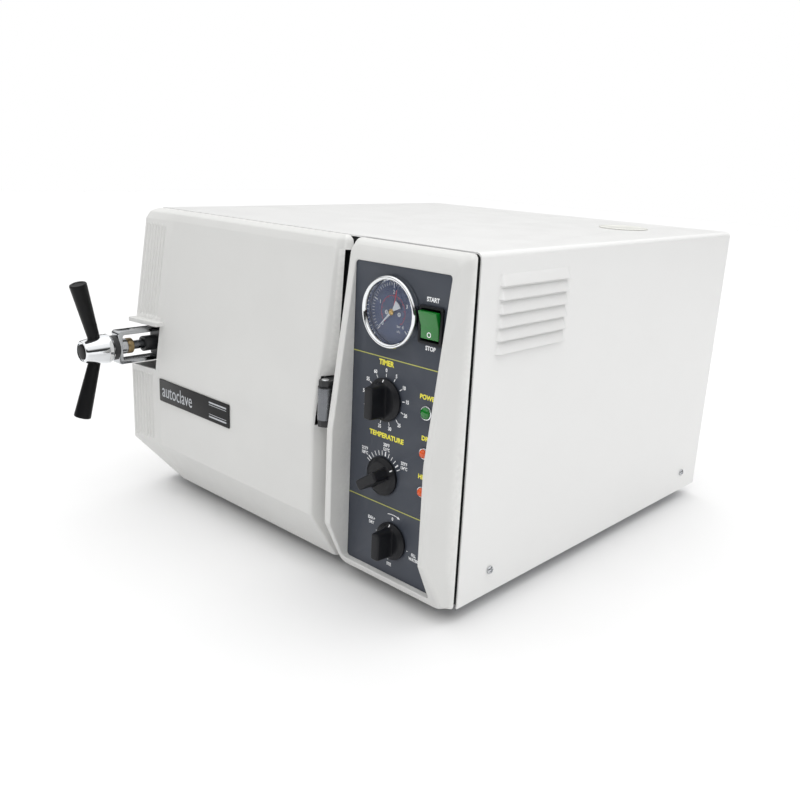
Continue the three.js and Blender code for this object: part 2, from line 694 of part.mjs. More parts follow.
function switchHousing() {
  const { x, z, width, height } = SWITCH;
  const face = FASCIA_FRONT - GAP;
  const frame = block([x - width / 2, face - 2.6, z - height / 2], [x + width / 2, face, z + height / 2]);
  const body = block(
    [x - width / 2 + 1.6, face - 1, z - height / 2 + 1.6],
    [x + width / 2 - 1.6, face + 24, z + height / 2 - 1.6],
  );
  const well = block(
    [x - width / 2 + 3, face - 10, z - height / 2 + 2.5],
    [x + width / 2 - 3, face + 12, z + height / 2 - 2.5],
  );
  return cut(joined(frame, body), well);
}

// The rocker turns about its pivot line along X; at rest its lower half is pressed in.
function switchRocker() {
  const { x, z, width, height } = SWITCH;
  const face = FASCIA_FRONT - GAP;
  const top = height / 2 - 4.2;
  const section = outline([
    [face - 8.2, z + top], [face - 3.6, z + 1], [face - 2.4, z - top],
    [face + 1.5, z - top + 1], [face + 5.5, z - 3], [face + 5.5, z + 3], [face - 2, z + top],
  ]);
  return platesX(section, x - width / 2 + 3.6, x + width / 2 - 3.6);
}

// A pointer knob: a skirt disc with a grip bar across it, on its own shaft.
function pointerKnob({ x, z, disc, turn }) {
  const face = FASCIA_FRONT - 0.7;
  const skirt = turnedY(
    [[0, face], [disc, face], [disc, face - 2.2], [disc - 4.5, face - 5], [0, face - 5]], x, z, 32,
  );
  const bar = roundedOutline(-6, -disc + 5, 6, disc - 4, 2.5);
  const grip = platesY(bar, face - 24, face - 4.5, 3);
  const shaft = barY(SHAFT_RADIUS, face - 1, 14, x, z, 16);
  return joined(skirt, grip.rotate([0, turn, 0]).translate([x, 0, z]), shaft);
}

function controlBody({ x, z }, half, depth) {
  const front = FASCIA_FRONT + FASCIA_SHEET + 0.4;
  const body = block([x - half, front, z - half], [x + half, front + depth, z + half]);
  return cut(body, barY(SHAFT_RADIUS + 0.5, front - 5, 16, x, z, 16));
}

function valveBody() {
  const front = FASCIA_FRONT + FASCIA_SHEET + 0.4;
  const { x, z } = VALVE;
  const neck = barY(9, front, 6, x, z, 20);
  const body = block([x - 17, 5, z - 17], [x + 17, 50, z + 17]);
  const bore = barY(SHAFT_RADIUS + 0.5, front - 5, 16, x, z, 16);
  return cut(joined(neck, body), bore);
}

function lamp(z, collar) {
  const face = FASCIA_FRONT - GAP;
  const profile = [
    [0, 2], [4.4, 2], [4.4, face], [collar, face], [collar, face - 1.6], [4.4, face - 2],
    [3.6, face - 3.8], [0, face - 4.6],
  ];
  return turnedY(profile, LAMP_X, z, 20);
}

// ---------------------------------------------------------------- pipes

function gaugePipe() {
  return tube([
    [GAUGE.x, 32.3, GAUGE.z], [GAUGE.x, 44, GAUGE.z], [GAUGE.x - 20, 58, GAUGE.z + 2],
    [GAUGE.x - 60, 52, GAUGE.z - 2], [GAUGE.x - 95, 30, GAUGE.z - 10], [44, 15, 268], [32.5, 15, 260.5],
  ], 2.5, 6, 22);
}

function steamPipe() {
  return tube([
    [VALVE.x - 17.3, 28, VALVE.z], [VALVE.x - 40, 28, VALVE.z], [100, 27, 70], [70, 20, 84],
    [40, 15, 100], [20.5, 15, 109.5],
  ], 3, 6, 16);
}

function fillPipe() {
  const outlet = TANK.low + 14;
  return tube([
    [FILLER.x, TANK.front - GAP, outlet], [FILLER.x, 170, outlet], [FILLER.x, 120, outlet - 2],
    [FILLER.x + 2, 92, outlet - 22], [FILLER.x + 6, 78, 150], [VALVE.x, 66, 100],
    [VALVE.x, 46, 96], [VALVE.x, 36, 92], [VALVE.x, 34, 88], [VALVE.x, 34, VALVE.z + 17.5],
  ], 3, 6, 24);
}

// ---------------------------------------------------------------- door

// The main body of the door: a bevel at the bottom, a band and a leaning face.
function doorHull(inset) {
  const left = DOOR_LEFT + inset;
  const right = DOOR_CREASE_RIGHT - inset;
  const [[lipY, lipZ], ...rest] = faceProfile(inset);
  const points = [[DOOR_LIP.left, lipY, lipZ], [DOOR_LIP.right - inset, lipY, lipZ]];
  for (const [y, z] of rest) {
    points.push([right, y, z], [left + (z > FACE_SHOULDER ? 6 : 0), y, z]);
  }
  for (const y of [FACE_BACK - 2, inset ? OPEN_BACK : FACE_BACK]) {
    points.push([DOOR_RIGHT - inset, y, FACE_LOW + inset], [DOOR_RIGHT - inset, y, FACE_HIGH - 8 - inset]);
    points.push([DOOR_RIGHT - 8 - inset, y, FACE_HIGH - inset]);
    points.push([left, y, FACE_LOW + inset], [left, y, FACE_HIGH - 12 - inset]);
    points.push([left + 12, y, FACE_HIGH - inset]);
  }
  return hull(points);
}

// The pull strip along the door's left edge: a wedge that comes forward towards the edge.
function stripHull(inset) {
  const left = DOOR_LEFT + inset;
  const [[lipY, lipZ], low, high, shoulder, brow] = faceProfile(inset);
  const points = [[DOOR_LIP.left, lipY, lipZ]];
  for (const [y, z] of [low, high, shoulder, brow]) {
    const forward = z > BAND_TOP ? STRIP.forwardTop : STRIP.forward;
    const soft = z > FACE_SHOULDER ? 2 : 0;
    points.push([STRIP.right, y, z], [left + soft, y - forward + soft, z - soft]);
  }
  const back = inset ? OPEN_BACK : FACE_BACK;
  for (const x of [left, STRIP.right]) {
    points.push([x, back, FACE_LOW + inset], [x, back, FACE_HIGH - 12 - inset]);
  }
  return hull(points);
}

function doorCover() {
  const left = DOOR_LEFT - 4;
  const notch = block([left, -70, NOTCH.low], [NOTCH.right, 10, NOTCH.high]);
  const hinge = block([HINGE_GAP.left, -60, HINGE_GAP.low], [DOOR_RIGHT + 5, 10, HINGE_GAP.high]);
  const neckRoom = block(
    [NECK.pocket, BRIDGE.front - 1, HINGE_GAP.low], [HINGE_GAP.left + 1, 10, HINGE_GAP.high],
  );
  const slot = block(
    [DOOR_CREASE_RIGHT, WALL_SLOT.front, HINGE_GAP.high - 1], [DOOR_RIGHT + 5, 10, WALL_SLOT.high],
  );
  const behind = faceDepthAt(NOTCH.high) + 1;
  const hood = outline([
    [DOOR_LEFT - 1, behind - STRIP.forwardTop], [DOOR_LEFT - 1, HOOD.frontLeft],
    [HOOD.right, HOOD.frontRight], [HOOD.right, behind],
  ]);
  const shell = cut(joined(doorHull(0), stripHull(0)), doorHull(SHELL), stripHull(SHELL));
  return joined(cut(shell, notch, hinge, neckRoom, slot), platesZ(hood, NOTCH.high, NOTCH.high + HOOD.sheet));
}

// The bridge carries the chamber door: a flat bar from the hinge knuckle to the closing yoke.
function doorBridge() {
  const { front, back, low, high } = BRIDGE;
  const knuckleLow = HINGE.low + HINGE.jaw + GAP;
  const knuckleHigh = HINGE.high - HINGE.jaw - GAP;
  const knuckle = barZ(HINGE.knuckle, knuckleLow, knuckleHigh, HINGE.x, HINGE.y, 20);
  const neck = outline([
    [NECK.left, back], [NECK.left, front], [NECK.bend, front], [HINGE.x - 4, HINGE.y - 6],
    [HINGE.x + 3, HINGE.y + 3], [NECK.pocket, back],
  ]);
  const bar = block([YOKE.right + 0.5, front, low], [NECK.left + 5, back, high]);
  const end = block(
    [YOKE.left, front, YOKE.low + YOKE.sheet + GAP], [YOKE.right + 5, back, YOKE.high - YOKE.sheet - GAP],
  );
  const pinBore = barZ(HINGE.pin + 0.3, HINGE.low, HINGE.high, HINGE.x, HINGE.y, 20);
  const boss = barY(BOSS.radius, BOSS.front, front + 1, SCREW.x, SCREW.z);
  const screwBore = barY(SCREW.radius + 1, BOSS.front - 5, back + 5, SCREW.x, SCREW.z);
  const studBore = barY(NECK.stud + 0.4, front - 5, back + 5, CHAMBER.x, CHAMBER.z);
  const plate = platesZ(neck, knuckleLow, knuckleHigh);
  return cut(joined(knuckle, plate, bar, end, boss), pinBore, screwBore, studBore);
}

// The pressed door plate, with the stud that holds it to the bridge.
function doorDisc() {
  const front = DISC_BACK - DISC_THICKNESS;
  const profile = [
    [0, DISC_BACK], [DISC_RADIUS, DISC_BACK], [DISC_RADIUS, front + 3], [DISC_RADIUS - 14, front],
    [24, front], [22, BRIDGE.back + GAP], [NECK.stud, BRIDGE.back + GAP],
    [NECK.stud, BRIDGE.front - 2.5], [0, BRIDGE.front - 2.5],
  ];
  return turnedY(profile, CHAMBER.x, CHAMBER.z, LARGE_ROUND);
}

function doorGasket() {
  return turnedY(ring(129, 138.5, DISC_BACK + GAP, -GAP), CHAMBER.x, CHAMBER.z, LARGE_ROUND);
}

function nameplate() {
  const { left, right, low, high, thick } = NAMEPLATE;
  const back = -FACE_DEPTH - GAP;
  return block([left, back - thick, low], [right, back, high]);
}

function hingeBracket() {
  const back = 2 - GAP;
  const jaw = outline([
    [80, back], [98.5, back], [101.5, HINGE.y + 4], [101.5, HINGE.y - 2], [97, HINGE.y - 6.3],
    [92, HINGE.y - 6.3], [88, HINGE.y - 2], [80, back - 8],
  ]);
  const jaws = [HINGE.low, HINGE.high - HINGE.jaw].map((low) => platesZ(jaw, low, low + HINGE.jaw));
  const spine = block([80, back - 5, HINGE.low], [98.5, back, HINGE.high]);
  const bore = barZ(HINGE.pin + 0.3, HINGE.low - 5, HINGE.high + 5, HINGE.x, HINGE.y, 20);
  return cut(joined(...jaws, spine), bore);
}

function hingePin() {
  return barZ(HINGE.pin, HINGE.low - 1, HINGE.high + 1, HINGE.x, HINGE.y, 20);
}

// ---------------------------------------------------------------- closing screw and handle

// The keeper on the cabinet: a plate with the round nut that the closing screw runs into.
function latchBracket() {
  const { left, right, half, front } = KEEPER;
  const plate = block([left, front, SCREW.z - half], [right, 2 - GAP, SCREW.z + half]);
  const nut = turnedY(ring(SCREW.radius + 1.6, KEEPER.nut, -11, -2), SCREW.x, SCREW.z);
  return joined(plate, nut);
}

function closingYoke() {
  const { left, right, low, high, front, back, sheet } = YOKE;
  const legs = [low, high - sheet].map((z) => block([left, front, z], [right, back, z + sheet]));
  const web = block([left, front, low], [right, front + 6, high]);
  const bush = barY(BUSH.radius, front + 5, front + BUSH.length, SCREW.x, SCREW.z);
  const bore = barY(SCREW.radius + 0.4, front - 5, front + 40, SCREW.x, SCREW.z);
  return cut(joined(...legs, web, bush), bore);
}

function closingScrew() {
  const tip = SCREW.tip;
  const profile = [
    [0, HUB.back + GAP], [SCREW.radius, HUB.back + GAP], [SCREW.radius, tip - 1.5], [SCREW.radius - 1.5, tip],
    [0, tip],
  ];
  return turnedY(profile, SCREW.x, SCREW.z);
}

function thrustCollar() {
  const from = HUB.back + GAP;
  return turnedY(ring(SCREW.radius + 0.3, 15, from, YOKE.front - GAP), SCREW.x, SCREW.z);
}

function handleHub() {
  const { back, front, wide, narrow } = HUB;
  const profile = [
    [0, back], [wide - 1, back], [wide, back - 1], [wide, back - 6], [narrow, front + 3],
    [narrow, front + 1], [narrow - 2, front], [0, front],
  ];
  const hub = turnedY(profile, SCREW.x, SCREW.z, 32);
  const sockets = [1, -1].map((up) => gripSolid(up, GRIP.start - 0.5, GRIP.root + 0.35));
  return cut(hub, ...sockets);
}

// One grip, leaning forward from the hub, the pair standing a little turned; up is +1 or -1.
function gripSolid(up, start, root) {
  const points = [[0, start], [root, start], [GRIP.tip, GRIP.start + GRIP.length - 2]];
  points.push([GRIP.tip - 1.5, GRIP.start + GRIP.length], [0, GRIP.start + GRIP.length]);
  const profile = points.map(([radius, along]) => new THREE.Vector2(radius, along));
  const geometry = new THREE.LatheGeometry(profile, 18);
  geometry.rotateX(up * (Math.PI / 2 + THREE.MathUtils.degToRad(GRIP.lean)));
  geometry.rotateY(THREE.MathUtils.degToRad(GRIP.turn));
  return solid(geometry.translate(SCREW.x, GRIP.y, SCREW.z));
}

// ---------------------------------------------------------------- assembly

add('base_pan', basePan(), BARE_STEEL);
add('front_frame', frontFrame(), BLACK_PAINT);
add('rear_panel', rearPanel(), WHITE_PAINT);
add('outer_cover', outerCover(), WHITE_PAINT);
add('inner_frame', innerFrame(), BARE_STEEL);

const corners = {
  front_left: [-195, 60], front_right: [195, 60], rear_left: [-195, 455], rear_right: [195, 455],
};
for (const [corner, [x, y]] of Object.entries(corners)) {
  add(`foot_${corner}`, foot(x, y), RUBBER);
}
for (const [sideName, side] of [['left', -1], ['right', 1]]) {
  for (const end of ['front', 'rear']) {
    add(`cover_screw_${end}_${sideName}`, coverScrew(side, COVER_SCREWS[end]), BARE_STEEL);
  }
}

add('chamber', chamber(), BARE_STEEL);
add('chamber_insulation', chamberInsulation(), FIBRE_WOOL);
add('heating_element', heatingElement(), BARE_STEEL);
add('tray_rack', trayRack(), BARE_STEEL);
for (const [name, level] of Object.entries(TRAY_LEVELS)) {
  add(`tray_${name}`, tray(level), POLISHED_STEEL);
}

add('water_reservoir', waterReservoir(), WHITE_PLASTIC);
add('reservoir_lid', reservoirLid(), WHITE_PLASTIC);
add('safety_valve', safetyValve(), BRASS);
add('safety_valve_ring', safetyValveRing(), POLISHED_STEEL);
add('thermal_cutout', thermalCutout(), BLACK_PLASTIC);
add('reset_button', resetButton(), RED_PLASTIC);
add('power_inlet', powerInlet(), BLACK_PLASTIC);

add('panel_bezel', panelBezel(), GREY_PLASTIC);
add('fascia_plate', fasciaPlate(), FASCIA_FINISH);
add('gauge_case', gaugeCase(), CHROME);
add('gauge_dial', gaugeDial(), BLACK_PLASTIC);
add('gauge_needle', gaugeNeedle(), WHITE_PLASTIC);
add('gauge_glass', gaugeGlass(), CLEAR_GLASS);
add('switch_housing', switchHousing(), BLACK_PLASTIC);
add('switch_rocker', switchRocker(), GREEN_LENS);
add('timer_body', controlBody(TIMER, 22, 34), BLACK_PLASTIC);
add('timer_knob', pointerKnob(TIMER), BLACK_PLASTIC);
add('thermostat_body', controlBody(THERMOSTAT, 19, 30), BLACK_PLASTIC);
add('thermostat_knob', pointerKnob(THERMOSTAT), BLACK_PLASTIC);
add('valve_body', valveBody(), BRASS);
add('valve_knob', pointerKnob(VALVE), BLACK_PLASTIC);
add('power_lamp', lamp(POWER_LAMP_Z, 7), GREEN_LENS);
add('dry_lamp', lamp(DRY_LAMP_Z, 5.6), ORANGE_LENS);
add('heat_lamp', lamp(HEAT_LAMP_Z, 5.6), ORANGE_LENS);
add('gauge_pipe', gaugePipe(), COPPER);
add('steam_pipe', steamPipe(), COPPER);
add('fill_pipe', fillPipe(), COPPER);

add('door_cover', doorCover(), GREY_PLASTIC);
add('door_bridge', doorBridge(), BLACK_PAINT);
add('door_disc', doorDisc(), POLISHED_STEEL);
add('door_gasket', doorGasket(), SILICONE);
add('nameplate', nameplate(), BLACK_PLASTIC);
add('hinge_bracket', hingeBracket(), BLACK_PAINT);
add('hinge_pin', hingePin(), POLISHED_STEEL);
add('latch_bracket', latchBracket(), BARE_STEEL);
add('closing_yoke', closingYoke(), POLISHED_STEEL);
add('closing_screw', closingScrew(), BARE_STEEL);
add('thrust_collar', thrustCollar(), BLACK_PAINT);
add('handle_hub', handleHub(), CHROME);
add('handle_grip_upper', gripSolid(1, GRIP.start, GRIP.root), BLACK_PLASTIC);
add('handle_grip_lower', gripSolid(-1, GRIP.start, GRIP.root), BLACK_PLASTIC);

export default parts;
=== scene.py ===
import json
import math

import bmesh
import bpy
import numpy as np
from mathutils import Matrix, Vector
from mathutils.geometry import tessellate_polygon

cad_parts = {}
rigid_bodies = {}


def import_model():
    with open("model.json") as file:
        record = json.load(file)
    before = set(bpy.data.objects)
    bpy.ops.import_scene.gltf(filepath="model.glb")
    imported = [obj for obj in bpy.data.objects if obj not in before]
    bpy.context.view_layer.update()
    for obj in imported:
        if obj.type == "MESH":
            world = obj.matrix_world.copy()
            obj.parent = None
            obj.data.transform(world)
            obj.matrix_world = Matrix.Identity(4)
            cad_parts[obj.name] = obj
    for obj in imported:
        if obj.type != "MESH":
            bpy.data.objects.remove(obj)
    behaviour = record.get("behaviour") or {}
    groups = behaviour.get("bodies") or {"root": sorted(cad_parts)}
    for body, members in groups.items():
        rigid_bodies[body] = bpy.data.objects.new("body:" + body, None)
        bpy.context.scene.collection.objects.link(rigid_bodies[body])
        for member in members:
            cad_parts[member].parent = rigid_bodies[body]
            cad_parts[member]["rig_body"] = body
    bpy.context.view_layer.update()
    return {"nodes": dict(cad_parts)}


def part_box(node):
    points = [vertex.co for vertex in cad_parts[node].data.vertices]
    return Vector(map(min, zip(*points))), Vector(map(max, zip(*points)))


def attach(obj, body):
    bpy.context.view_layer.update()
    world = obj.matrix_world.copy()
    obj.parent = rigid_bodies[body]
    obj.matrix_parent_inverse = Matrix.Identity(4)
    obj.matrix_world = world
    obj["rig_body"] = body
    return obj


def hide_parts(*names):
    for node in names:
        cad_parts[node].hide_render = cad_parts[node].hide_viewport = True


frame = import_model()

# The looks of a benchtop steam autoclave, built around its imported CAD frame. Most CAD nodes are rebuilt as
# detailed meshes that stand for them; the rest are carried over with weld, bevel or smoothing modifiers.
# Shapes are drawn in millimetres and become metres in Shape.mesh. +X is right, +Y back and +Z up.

MM = 0.001
BODY = {name: node["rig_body"] for name, node in frame["nodes"].items()}


class Span:
    """The box of a CAD node in millimetres: its sides x0..x1, y0..y1, z0..z1 and its centre x, y, z."""

    def __init__(self, node):
        low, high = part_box(node)
        self.x0, self.y0, self.z0 = (value / MM for value in low)
        self.x1, self.y1, self.z1 = (value / MM for value in high)
        self.x, self.y, self.z = ((a + b) / (2 * MM) for a, b in zip(low, high))
        self.width, self.depth, self.height = ((b - a) / MM for a, b in zip(low, high))


COVER = Span("outer_cover")
BEZEL = Span("panel_bezel")
DOOR = Span("door_cover")
FASCIA = Span("fascia_plate")
FRONT = COVER.y0
SIDE = Span("base_pan").x1 + 1.9
PRINT = 0.08
TO_MM = Matrix.Scale(1 / MM, 4)

# ---------------------------------------------------------------- mesh tools


class Shape:
    """Surfaces gathered in millimetres and turned into one mesh."""

    def __init__(self):
        self.points = []
        self.faces = []

    def grid(self, rows, wrap_rows=False, wrap_columns=False, skip=None):
        """A surface through rows of points, apart from the cells that skip(row, column) names."""
        start, count = len(self.points), len(rows[0])
        for row in rows:
            self.points.extend(Vector(point) for point in row)
        for i in range(len(rows) - (not wrap_rows)):
            for j in range(count - (not wrap_columns)):
                if skip and skip(i, j):
                    continue
                k, m = (i + 1) % len(rows), (j + 1) % count
                cell = (i * count + j, i * count + m, k * count + m, k * count + j)
                self.faces.append([start + corner for corner in cell])
        return self

    def fill(self, loops, put):
        """A flat face bounded by loops of (u, v), the first one outside and the others holes."""
        start = len(self.points)
        flat = [[Vector((u, v, 0)) for u, v in loop] for loop in loops]
        for loop in flat:
            self.points.extend(Vector(put(point.x, point.y)) for point in loop)
        self.faces.extend([start + corner for corner in face] for face in tessellate_polygon(flat))
        return self

    def take(self, mesh, matrix):
        """Adds a Blender mesh, moved by matrix."""
        start = len(self.points)
        self.points.extend(matrix @ vertex.co for vertex in mesh.vertices)
        self.faces.extend([start + corner for corner in face.vertices] for face in mesh.polygons)
        return self

    def cap(self, row):
        """A flat face over a row of points."""
        self.faces.append(list(range(len(self.points), len(self.points) + len(row))))
        self.points.extend(Vector(point) for point in row)

    def mesh(self, name, crease=32):
        """The mesh in metres, welded, with outward normals, and smooth except where it creases."""
        weld, sliver = 0.002 * MM, 0.0005 * MM
        work = bmesh.new()
        corners = [work.verts.new(point * MM) for point in self.points]
        for face in self.faces:
            if len(set(face)) > 2:
                work.faces.new([corners[index] for index in face])
        bmesh.ops.remove_doubles(work, verts=work.verts, dist=weld)
        bmesh.ops.dissolve_degenerate(work, edges=work.edges, dist=sliver)
        bmesh.ops.recalc_face_normals(work, faces=work.faces)
        mesh = bpy.data.meshes.new(name)
        work.to_mesh(mesh)
        work.free()
        mesh.shade_smooth()
        mesh.set_sharp_from_angle(angle=math.radians(crease))
        return mesh


def rounded(points, closed=True, steps=6):
    """An outline of (a, b) points, where a third value is the radius of an arc in place of the corner."""
    out = []
    for i, point in enumerate(points):
        corner = Vector(point[:2])
        if len(point) < 3 or (not closed and i in (0, len(points) - 1)):
            out.append(corner)
            continue
        before = Vector(points[i - 1][:2]) - corner
        after = Vector(points[(i + 1) % len(points)][:2]) - corner
        half = before.angle(after) / 2
        reach = min(point[2] / math.tan(half), 0.49 * before.length, 0.49 * after.length)
        start, end = corner + before.normalized() * reach, corner + after.normalized() * reach
        centre = corner + (before.normalized() + after.normalized()).normalized() * (reach / math.cos(half))
        first = math.atan2(*(start - centre).yx)
        sweep = (math.atan2(*(end - centre).yx) - first + math.pi) % (2 * math.pi) - math.pi
        radius = (start - centre).length
        for step in range(steps + 1):
            angle = first + sweep * step / steps
            out.append(centre + radius * Vector((math.cos(angle), math.sin(angle))))
    return out


def box_outline(x0, z0, x1, z1, radius, steps=6):
    return rounded([(x0, z0, radius), (x1, z0, radius), (x1, z1, radius), (x0, z1, radius)], steps=steps)


def circle(x, z, radius, sides=64):
    turns = [2 * math.pi * i / sides for i in range(sides)]
    return [Vector((x + radius * math.cos(turn), z + radius * math.sin(turn))) for turn in turns]


def inset(outline, amount, hole=False):
    """A closed outline moved inwards by amount, or outwards round a hole."""
    points = np.array([tuple(point) for point in outline])
    ahead = np.roll(points, -1, axis=0)
    area = np.sum(points[:, 0] * ahead[:, 1] - ahead[:, 0] * points[:, 1])
    along = ahead - points
    along /= np.linalg.norm(along, axis=1)[:, None]
    normal = np.stack([-along[:, 1], along[:, 0]], axis=1) * (1 if (area > 0) != hole else -1)
    back = np.roll(normal, 1, axis=0)
    mitre = (normal + back) / (1 + np.sum(normal * back, axis=1))[:, None]
    return points + amount * mitre


PLANES = {
    "X": lambda u, v, along: (along, u, v),
    "Y": lambda u, v, along: (u, along, v),
    "Z": lambda u, v, along: (u, v, along),
}


def slab(low, high, edge=0.3, steps=3):
    """Levels (along, inset) of a plate with rounded edges."""
    turns = [math.pi / 2 * step / steps for step in range(steps + 1)]
    start = [(low + edge * (1 - math.sin(turn)), edge * (1 - math.cos(turn))) for turn in reversed(turns)]
    return start + [(low + high - along, amount) for along, amount in reversed(start)]


def stack(shape, outlines, axis, levels):
    """Outlines pushed along an axis through levels of (along, inset): one outside, and then its holes."""
    put = PLANES[axis]
    for number, outline in enumerate(outlines):
        rows = [
            [put(u, v, along) for u, v in inset(outline, amount, hole=number > 0)] for along, amount in levels
        ]
        shape.grid(rows, wrap_columns=True)
    for along, amount in (levels[0], levels[-1]):
        loops = [inset(outline, amount, hole=number > 0) for number, outline in enumerate(outlines)]
        shape.fill(loops, lambda u, v, along=along: put(u, v, along))
    return shape


def lathe(shape, profile, centre, axis="Y", sides=96, closed=True, scallop=None):
    """Turns a profile of (radius, along) about an axis; scallop(turn, along) takes some radius away."""
    rows = []
    for radius, along in profile:
        row = []
        for turn in (2 * math.pi * i / sides for i in range(sides)):
            reach = radius - (scallop(turn, along) if scallop and radius > 0 else 0)
            u, v = centre[0] + reach * math.cos(turn), centre[1] + reach * math.sin(turn)
            row.append(PLANES[axis](u, v, along))
        rows.append(row)
    return shape.grid(rows, wrap_rows=closed, wrap_columns=True)


def dome(radius, tip, rise, last=math.pi / 2, count=10):
    """A profile from the axis at tip out to radius, along an arc that drops by rise."""
    turns = np.linspace(0, last, count)
    return [(radius * math.sin(turn), tip + rise * (1 - math.cos(turn))) for turn in turns]


def words(shape, text, x, z, size, front, width=1.0, bold=0.0, align="CENTER"):
    """Raised print, facing the front, at (x, z)."""
    curve = bpy.data.curves.new("words", "FONT")
    curve.body = text
    curve.size = size
    curve.align_x = align
    curve.align_y = "CENTER"
    curve.resolution_u = 3
    curve.extrude = PRINT / 2
    curve.offset = bold
    letters = bpy.data.objects.new("words", curve)
    mesh = bpy.data.meshes.new_from_object(letters)
    spot = Matrix.Translation((x, front - PRINT / 2, z))
    upright = Matrix.Rotation(math.pi / 2, 4, "X")
    shape.take(mesh, spot @ upright @ Matrix.Diagonal((width, 1, 1, 1)))
    bpy.data.objects.remove(letters)
    bpy.data.meshes.remove(mesh)


def ink(shape, outline, front):
    """A printed patch."""
    stack(shape, [outline], "Y", [(front - PRINT, 0), (front, 0)])


def stroke(shape, start, end, width, front):
    """A printed line from start to end, both (x, z)."""
    a, b = Vector(start), Vector(end)
    side = (b - a).normalized().orthogonal() * (width / 2)
    ink(shape, [a + side, b + side, b - side, a - side], front)


def around(centre, radius, degrees):
    """The point (x, z) at a clock angle: 0 is at the top, and it grows clockwise."""
    turn = math.radians(degrees)
    return Vector((centre[0] + radius * math.sin(turn), centre[1] + radius * math.cos(turn)))


def arc_stroke(shape, centre, radius, first, last, width, front, steps=24):
    """A printed arc between two clock angles."""
    turns = [first + (last - first) * step / steps for step in range(steps + 1)]
    outer = [around(centre, radius + width / 2, turn) for turn in turns]
    inner = [around(centre, radius - width / 2, turn) for turn in reversed(turns)]
    ink(shape, outer + inner, front)


# ---------------------------------------------------------------- placing pieces


def add(name, mesh, node, material, stands_for=True, bevel=0.0, segments=2):
    """A piece that rides with a CAD node's body and, unless told otherwise, is shown in its place."""
    piece = bpy.data.objects.new(name, mesh)
    bpy.context.scene.collection.objects.link(piece)
    mesh.materials.append(material)
    if bevel:
        soften(piece, bevel, segments)
    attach(piece, BODY[node])
    if stands_for:
        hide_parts(node)
    return piece


def turned(name, profile, centre, node, material, axis="Y", sides=96, scallop=None, stands_for=True):
    """A piece turned from a profile."""
    mesh = lathe(Shape(), profile, centre, axis, sides, scallop=scallop).mesh(name)
    add(name, mesh, node, material, stands_for)


def soften(piece, width, segments=2, angle=35):
    """Rounds a piece's sharp edges."""
    bevel = piece.modifiers.new("edges", "BEVEL")
    bevel.width = width * MM
    bevel.segments = segments
    bevel.limit_method = "ANGLE"
    bevel.angle_limit = math.radians(angle)
    bevel.harden_normals = True


def carry(node, material, bevel=0.5, smooth=0):
    """A CAD node shown as it is, with its edges rounded or its whole surface smoothed."""
    piece = frame["nodes"][node]
    weld = piece.modifiers.new("weld", "WELD")
    weld.merge_threshold = 0.002 * MM
    if smooth:
        piece.modifiers.new("smooth", "SUBSURF").render_levels = smooth
    else:
        flat = piece.modifiers.new("flat", "DECIMATE")
        flat.decimate_type = "DISSOLVE"
        flat.angle_limit = math.radians(1)
        soften(piece, bevel)
    piece.data.shade_smooth()
    piece.data.materials.clear()
    piece.data.materials.append(material)


def carve(mesh, cutter):
    """The mesh with another closed mesh cut out of it."""
    piece = bpy.data.objects.new("carved", mesh)
    tool = bpy.data.objects.new("cutter", cutter)
    for thing in (piece, tool):
        bpy.context.scene.collection.objects.link(thing)
    cut = piece.modifiers.new("cut", "BOOLEAN")
    cut.object = tool
    cut.solver = "EXACT"
    result = bpy.data.meshes.new_from_object(piece.evaluated_get(bpy.context.evaluated_depsgraph_get()))
    for thing in (piece, tool):
        bpy.data.objects.remove(thing)
    result.shade_smooth()
    result.set_sharp_from_angle(angle=math.radians(32))
    return result


# ---------------------------------------------------------------- materials


def tone(red, green, blue):
    """A display colour, 0 to 255, as the linear colour that a shader takes."""
    parts = [value / 255 for value in (red, green, blue)]
    return [p / 12.92 if p <= 0.04045 else ((p + 0.055) / 1.055) ** 2.4 for p in parts] + [1.0]


